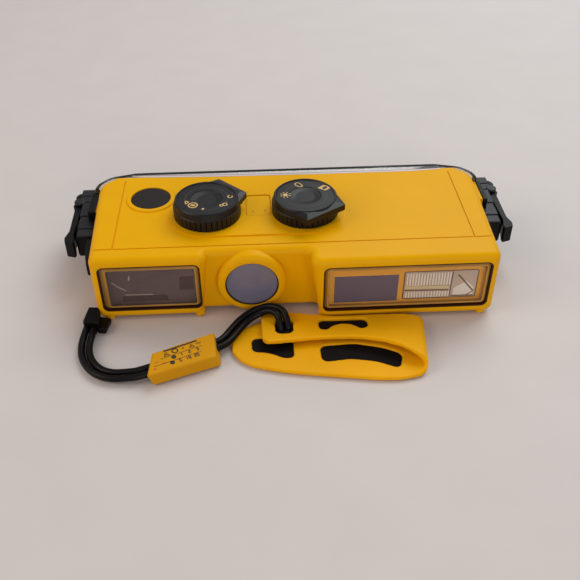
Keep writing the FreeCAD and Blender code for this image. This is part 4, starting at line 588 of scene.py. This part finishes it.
def print_table():
    """A plain bar, two rules, small icons, dots and plain numbers, with red marks at the left."""
    tilt = TABLE_TILT
    dark = strokes([(-53.4, -24.9), (-37.8, -18.1)], 0.2) + strokes([(-55.4, -28.9), (-38.0, -21.4)], 0.2)
    dark += strokes([(-52.6, -20.8), (-40.0, -15.3)], 0.8)
    head = ring_line(0.6, 0.26) + strokes([(-1.0, -1.5), (-0.8, -0.7), (0.8, -0.7), (1.0, -1.5)], 0.3, True)
    dark += turned_to(head, (-51.6, -21.9), tilt) + turned_to(head, (-42.1, -17.7), tilt, 0.9)
    dark += turned_to(ring_line(1.35, 0.5), (-48.2, -20.6), tilt) + turned_to(disc(0.4), (-45.2, -19.3))
    dark += turned_to(ring_line(0.5, 0.2) + turned_to(ring_line(0.5, 0.2), (1.0, 0)), (-39.8, -16.9), tilt)
    dark += turned_to(disc(1.0), (-48.4, -24.0)) + turned_to(disc(1.0), (-48.7, -27.0))
    for text, centre in (("1", (-45.3, -22.4)), ("2", (-42.4, -21.3)), ("3", (-39.4, -20.0)),
                         ("5", (-45.6, -25.8)), ("10", (-42.6, -24.6)), ("20", (-39.6, -23.3))):
        dark += printed_number(text, centre)
    level_mark("slider_table", dark, SLIDER_TOP, "print_black", "camera_body", THIN_RISE)
    red = strokes([(-55.5, -27.0), (-54.0, -26.4)], 0.5) + strokes([(-52.6, -27.4), (-51.0, -26.8)], 0.4)
    red += turned_to(disc(0.5), (-55.0, -30.2))
    level_mark("slider_red_marks", red, SLIDER_TOP, "print_red", "camera_body", THIN_RISE)


# Windows

WINDOW_LOW, WINDOW_HIGH = 5.1, 27.6
# Depth of the sheet of painted shade inside the finder.
FINDER_SHADE_DEPTH = 8.04


def rounded_contour(left, right, low, high, radius, steps=6):
    """The corners of a rounded rectangle, as x and z."""
    points = []
    for cx, cz, start in ((right - radius, high - radius, 0), (left + radius, high - radius, 90),
                          (left + radius, low + radius, 180), (right - radius, low + radius, 270)):
        for i in range(steps + 1):
            angle = math.radians(start + 90 * i / steps)
            points.append((cx + radius * math.cos(angle), cz + radius * math.sin(angle)))
    return points


def bevel_frame(name, left, right, face, inner_left):
    """A gold band round a pane, painted as the reflection in its bevel, a hair in front of the clear pane's
    own, wider at its left.
    """
    rings = []
    for inset, left_inset, depth, radius in ((0.62, 0.62, 1.66, 2.0), (1.75, inner_left, 0.46, 1.1),
                                             (2.15, inner_left + 0.4, 0.46, 0.8),
                                             (2.3, inner_left + 0.6, 0.8, 0.7)):
        contour = rounded_contour(left + left_inset, right - inset, WINDOW_LOW + inset, WINDOW_HIGH - inset,
                                  radius)
        rings.append([at(x, face + depth, z) for x, z in contour])
    shape = bmesh.new()
    grid = [[shape.verts.new(point) for point in ring] for ring in rings]
    for here, there in zip(grid, grid[1:]):
        join_rings(shape, here, there)
    return new_piece(name, mesh_of(name, shape), "bevel_reflection_gold", "camera_body")


def fit_windows():
    """The bevels round both panes, coloured as painted reflection, and what shows behind the finder's pane: a
    sheet of painted shade with darker shapes, pale streaks and specks on it.
    """
    bevel_frame("finder_bevel", -78.7, -38.1, 5.4, 2.7)
    bevel_frame("flash_bevel", 10.9, 78.7, 0.0, 1.75)
    # A sheet of painted shade where the finder's inside is dark, with marks in front of it.
    shade_outline = rounded_contour(-77.9, -38.9, 5.9, 26.8, 1.6)
    upright_mark("finder_shade_sheet", [shade_outline], FINDER_SHADE_DEPTH, "finder_shade_dark")
    streaks = strokes([(-74.0, 18.1), (-71.8, 15.9), (-69.0, 13.8)], 0.34)
    streaks += bar((-69.5, 11.6), (-58.2, 11.4), 0.36) + bar((-67.1, 19.0), (-66.7, 21.2), 0.5)
    upright_mark("finder_streaks", streaks, FINDER_SHADE_DEPTH - 0.1, "streak_pale")
    specks = [spot for k in range(26) for spot in turned_to(
        disc(0.16 + 0.05 * (k % 3), steps=6), (-70.5 + (k * 7 % 23) * 0.62, 14.2 + (k * 11 % 17) * 0.55))]
    upright_mark("finder_specks", specks, FINDER_SHADE_DEPTH - 0.08, "speck_grey")
    dark = [[(-47.2, 13.2), (-41.4, 13.3), (-41.2, 20.1), (-46.8, 19.9)],
            [(-71.0, 8.2), (-52.0, 8.0), (-52.4, 11.0), (-70.2, 11.2)]]
    upright_mark("finder_inner_frame", dark, FINDER_SHADE_DEPTH - 0.05, "finder_view_black")


# Behind the flash pane

LABEL_DROP, LAMP_DROP = 2.5, 3.0
LABEL_END = 42.5


def lowered(name, node, drop_of, material):
    """A fitted piece behind the flash pane, seated where the pane shows it."""
    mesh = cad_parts[node].data.copy()
    for vertex in mesh.vertices:
        vertex.co.z -= drop_of(vertex.co.x / MM, vertex.co.z / MM) * MM
    piece = new_piece(name, mesh, material, "camera_body")
    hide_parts(node)
    return piece


def fit_flash_panel():
    def panel_drop(x, z):
        """The panel's openings go down with what they hold. Its outer edge stays."""
        if not (15.0 < x < 74.6 and 8.5 < z < 25.0):
            return 0.0
        return LABEL_DROP if x < LABEL_END else LAMP_DROP
    lowered("panel_front", "flash_bezel", panel_drop, "panel_yellow")
    lowered("panel_plate", "label_plate", lambda x, z: LABEL_DROP, "plate_grey")
    lowered("lamp_cover", "flash_lens", lambda x, z: LAMP_DROP, "lamp_grey")


def rib_tree():
    """A row of upright ribs."""
    tree = bpy.data.node_groups.new("row_of_ribs", "GeometryNodeTree")
    for kind, name in (("Int", "Count"), ("Float", "Pitch"), ("Float", "Radius"), ("Float", "Height"),
                       ("Vector", "Start"), ("Material", "Material")):
        tree.interface.new_socket(name, in_out="INPUT", socket_type=f"NodeSocket{kind}")
    tree.interface.new_socket("Geometry", in_out="OUTPUT", socket_type="NodeSocketGeometry")
    given, result = tree.nodes.new("NodeGroupInput"), tree.nodes.new("NodeGroupOutput")
    step = tree.nodes.new("ShaderNodeCombineXYZ")
    row = tree.nodes.new("GeometryNodeMeshLine")
    rib = tree.nodes.new("GeometryNodeMeshCylinder")
    rib.inputs["Vertices"].default_value = 8
    spread = tree.nodes.new("GeometryNodeInstanceOnPoints")
    real = tree.nodes.new("GeometryNodeRealizeInstances")
    paint = tree.nodes.new("GeometryNodeSetMaterial")
    link(tree, given.outputs["Pitch"], step.inputs["X"])
    link(tree, given.outputs["Count"], row.inputs["Count"])
    link(tree, given.outputs["Start"], row.inputs["Start Location"])
    link(tree, step.outputs["Vector"], row.inputs["Offset"])
    link(tree, given.outputs["Radius"], rib.inputs["Radius"])
    link(tree, given.outputs["Height"], rib.inputs["Depth"])
    link(tree, row.outputs["Mesh"], spread.inputs["Points"])
    link(tree, rib.outputs["Mesh"], spread.inputs["Instance"])
    link(tree, spread.outputs["Instances"], real.inputs["Geometry"])
    link(tree, real.outputs["Geometry"], paint.inputs["Geometry"])
    link(tree, given.outputs["Material"], paint.inputs["Material"])
    link(tree, paint.outputs["Geometry"], result.inputs["Geometry"])
    return tree


RIB_TREE = rib_tree()
RIB_COUNT, RIB_PITCH, RIB_RADIUS = 16, 1.17, 0.34


def row_of_ribs(name, height, start, material):
    carrier = bpy.data.objects.new("rib_carrier", bpy.data.meshes.new("rib_carrier"))
    bpy.context.scene.collection.objects.link(carrier)
    ribs = carrier.modifiers.new("ribs", "NODES")
    ribs.node_group = RIB_TREE
    sockets = {item.name: item.identifier for item in ribs.node_group.interface.items_tree
               if item.in_out == "INPUT"}
    values = {"Count": RIB_COUNT, "Pitch": RIB_PITCH * MM, "Radius": RIB_RADIUS * MM, "Height": height * MM,
              "Start": start, "Material": MATERIALS[material]}
    for socket, value in values.items():
        ribs[sockets[socket]] = value
    depsgraph = bpy.context.evaluated_depsgraph_get()
    mesh = bpy.data.meshes.new_from_object(carrier.evaluated_get(depsgraph))
    bpy.data.objects.remove(carrier)
    return new_piece(name, mesh, material, "camera_body")


def fit_lamp():
    """The lamp behind its lens: upright ribs over the bright trough, a painted highlight along the tube, and
    the clear end in painted light, with its slope.
    """
    back = [[(44.3, 8.2), (73.6, 8.2), (73.6, 21.7), (44.3, 21.7)]]
    upright_mark("lamp_back", back, 3.08, "lamp_grey")
    row_of_ribs("lamp_ribs", 6.3, at(45.2, 2.98, 18.0), "lamp_white")
    row_of_ribs("lamp_low_ribs", 2.7, at(45.2, 2.98, 10.1), "lamp_white")
    # Bright amber band: painted highlight along the tube. A dark line lies under it.
    upright_mark("lamp_tube_glow", bar((44.5, 13.8), (62.6, 13.4), 1.4), 2.95, "lamp_amber")
    upright_mark("lamp_tube_line", bar((44.5, 12.4), (62.6, 12.0), 0.55), 2.9, "lamp_dark")
    ends = [[(64.6, 9.2), (73.0, 9.2), (73.0, 13.0), (69.6, 16.2), (64.6, 12.6)]]
    # Painted light in the clear end of the lamp.
    upright_mark("lamp_end_light", ends, 3.02, "lamp_white")
    slope = bar((65.9, 19.6), (72.9, 11.0), 0.55) + bar((63.3, 8.6), (63.6, 21.3), 0.4)
    slope += bar((64.0, 8.8), (73.2, 8.6), 0.4) + bar((70.4, 9.0), (72.9, 11.0), 0.4)
    slope += strokes(rounded_contour(44.0, 74.0, 8.0, 21.9, 0.8), 0.36, True)
    upright_mark("lamp_slope", slope, 2.95, "lamp_dark")


# Latches

SLAB_EDGE, GUARD_EDGE = 0.45, 0.5


def soft_blocks(name, boxes, radius, material, body):
    """Blocks with rounded edges, each given as two corners."""
    shape = bmesh.new()
    for low, high in boxes:
        lowest = [min(a, b) for a, b in zip(low, high)]
        highest = [max(a, b) for a, b in zip(low, high)]
        made = bmesh.ops.create_cube(shape, size=1.0)["verts"]
        for vertex in made:
            vertex.co = at(*[a + (c + 0.5) * (b - a) for a, b, c in zip(lowest, highest, vertex.co)])
    bmesh.ops.bevel(shape, geom=shape.edges[:], offset=radius * MM, segments=3, profile=0.5, affect="EDGES")
    return new_piece(name, mesh_of(name, shape), material, body)


KNUCKLE_STEPS = 24


def knuckle(name, x, y, radius, low, high):
    """A round boss with a softened top edge, coloured with the painted sheen grey."""
    shape = bmesh.new()
    rings = []
    turns = [2 * math.pi * k / KNUCKLE_STEPS for k in range(KNUCKLE_STEPS)]
    for r, z in ((radius, low), (radius, high - 0.5), (radius - 0.15, high - 0.15), (radius - 0.5, high)):
        rings.append([shape.verts.new(at(x + r * math.cos(turn), y + r * math.sin(turn), z))
                      for turn in turns])
    for here, there in zip(rings, rings[1:]):
        join_rings(shape, here, there)
    shape.faces.new(rings[-1])
    shape.faces.new(rings[0][::-1])
    return new_piece(name, mesh_of(name, shape), "latch_sheen_grey", "cover_assembly")


def fit_latches():
    """Ribbed slabs on top of the catches and brackets, with the knuckles and the edge guards. Slabs and
    knuckles are coloured with a painted grey sheen.
    """
    for name, side, guard_from in (("left", -1, 83.9), ("right", 1, 85.3)):
        on_catch = [((side * 83.4, 34.8, 21.6), (side * 91.3, 39.9, 23.0)),
                    ((side * 83.6, 40.3, 21.6), (side * 91.6, 49.4, 23.2)),
                    ((side * 83.8, 49.9, 22.2), (side * 92.2, 60.6, 23.3))]
        soft_blocks(f"catch_slabs_{name}", on_catch, SLAB_EDGE, "latch_sheen_grey", "camera_body")
        on_bracket = [((side * 84.4, 61.2, 22.2), (side * 93.6, 65.9, 23.2)),
                      ((side * 85.4, 66.4, 22.2), (side * 93.8, 71.6, 23.2))]
        soft_blocks(f"bracket_slabs_{name}", on_bracket, SLAB_EDGE, "latch_sheen_grey", "cover_assembly")
        knuckle(f"latch_knuckle_{name}", side * 93.9, 61.8, 2.4, 22.2, 23.4)
        guard = [((side * guard_from, 45.0, 22.4), (side * 87.4, 60.5, 28.2))]
        soft_blocks(f"edge_guard_{name}", guard, GUARD_EDGE, "latch_black", "camera_body")


def fit_catch_tongue():
    """The flat tongue in front of the left catch."""
    shape = bmesh.new()
    outline = [(-82.4, 34.5), (-86.9, 34.5), (-86.6, 24.9), (-84.6, 15.1), (-82.4, 15.1)]
    add_prism(shape, [at(x, y, 17.0) for x, y in outline], [at(x, y, 22.0) for x, y in outline])
    new_piece("catch_tongue", mesh_of("catch_tongue", shape), "latch_black", "camera_body")


# The black end piece that holds the strands at the housing's side

CLIP_EDGE = 0.6


def fit_clip():
    """Two blocks, each an outline with its low and high z. Their tops lean in a little."""
    shape = bmesh.new()
    forms = (
        ([(-85.4, 8.2), (-80.8, 7.8), (-79.6, -2.2), (-86.6, -0.8)], 0.4, 6.0),
        ([(-81.6, 5.4), (-75.9, 3.8), (-77.5, -3.0), (-80.6, -2.7)], 0.4, 3.2),
    )
    for outline, low, high in forms:
        top = [at(x * 0.998 + 0.05, y, high) for x, y in outline]
        add_prism(shape, [at(x, y, low) for x, y in outline], top)
    bmesh.ops.recalc_face_normals(shape, faces=shape.faces)
    bmesh.ops.bevel(shape, geom=shape.edges[:], offset=CLIP_EDGE * MM, segments=3, profile=0.5,
                    affect="EDGES")
    clip = new_piece("end_clip", mesh_of("end_clip", shape), "latch_black", "camera_body")
    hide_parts("strap_clip", "strap_lug")
    return clip


# Painted light along the clear back's top edge, and the dark sheets in the band's slots

COVER_TOP = 31.22


def fit_rear_edge_light():
    """A pale strip of painted light along the clear back's top edge, a thin line of painted dark reflection
    on it and a dark wedge at its right end.
    """
    pale_strip = [[(-69.0, 68.2), (-60.0, 67.0), (-30.0, 66.0), (15.0, 65.5), (57.0, 65.6), (70.0, 66.6),
            (70.0, 67.9), (-69.0, 69.0)]]
    line = strokes([(-69.0, 68.8), (-30.0, 67.4), (12.0, 66.8), (57.0, 66.8), (68.0, 67.4)], 0.35)
    wedge = [[(57.3, 67.7), (63.4, 67.1), (69.3, 67.3), (70.6, 68.2), (69.2, 69.3), (63.6, 69.0)]]
    for name, outlines, level, material, rise in (
            ("rear_edge_light", pale_strip, COVER_TOP, "clear_edge_light_pale", 0.1),
            ("rear_edge_reflection_line", line, 31.33, "clear_edge_reflection_line", THIN_RISE),
            ("rear_edge_wedge", wedge, 31.345, "dish_line", THIN_RISE)):
        level_mark(name, outlines, level, material, "cover_assembly", rise)


# The middle of the band's top layer: x, near edge's y and z, far edge's y and z
TOP_LAYER = [
    (-14.4, -17.2, 5.1, 0.6, 3.3), (-4.0, -16.6, 5.0, 1.8, 3.3), (5.5, -15.9, 5.1, 0.4, 3.2),
    (15.0, -16.0, 5.2, -1.3, 3.1), (26.6, -17.6, 5.9, -1.5, 3.2), (39.6, -23.6, 6.9, -1.9, 3.5),
]
SHEET_COLUMNS, SHEET_ROWS = 6, 4


def top_layer_z(x, y):
    """The height of the top layer's middle at a place."""
    for here, there in zip(TOP_LAYER, TOP_LAYER[1:]):
        if x <= there[0]:
            share = (x - here[0]) / (there[0] - here[0])
            near_y, near_z, far_y, far_z = [a + (b - a) * share for a, b in zip(here[1:], there[1:])]
            return near_z + (far_z - near_z) * (y - near_y) / (far_y - near_y)
    return TOP_LAYER[-1][2]


def dark_sheet_in_slot(name, xs, ys, sink):
    """A black sheet inside the band's thickness, seen through a slot."""
    shape = bmesh.new()
    columns = []
    across = [ys[0] + (ys[1] - ys[0]) * k / SHEET_ROWS for k in range(SHEET_ROWS + 1)]
    for i in range(SHEET_COLUMNS + 1):
        x = xs[0] + (xs[1] - xs[0]) * i / SHEET_COLUMNS
        columns.append([shape.verts.new(at(x, y, top_layer_z(x, y) - sink)) for y in across])
    for here, there in zip(columns, columns[1:]):
        for k in range(SHEET_ROWS):
            shape.faces.new((here[k], there[k], there[k + 1], here[k + 1]))
    return new_piece(name, mesh_of(name, shape), "inner_black", "camera_body")


def dark_sheets_in_slots():
    dark_sheet_in_slot("slot_dark_sheet", (7.9, 28.9), (-12.4, -2.9), 0.35)
    dark_sheet_in_slot("hole_dark_sheet", (-9.6, -1.2), (-13.0, -2.4), 0.45)


set_camera()
set_light()
lay_floor()
dress_nodes()
lay_cords()
lay_band()
mark_index_box()
mark_dials()
print_table()
fit_windows()
fit_flash_panel()
fit_lamp()
fit_latches()
fit_catch_tongue()
fit_rear_edge_light()
dark_sheets_in_slots()
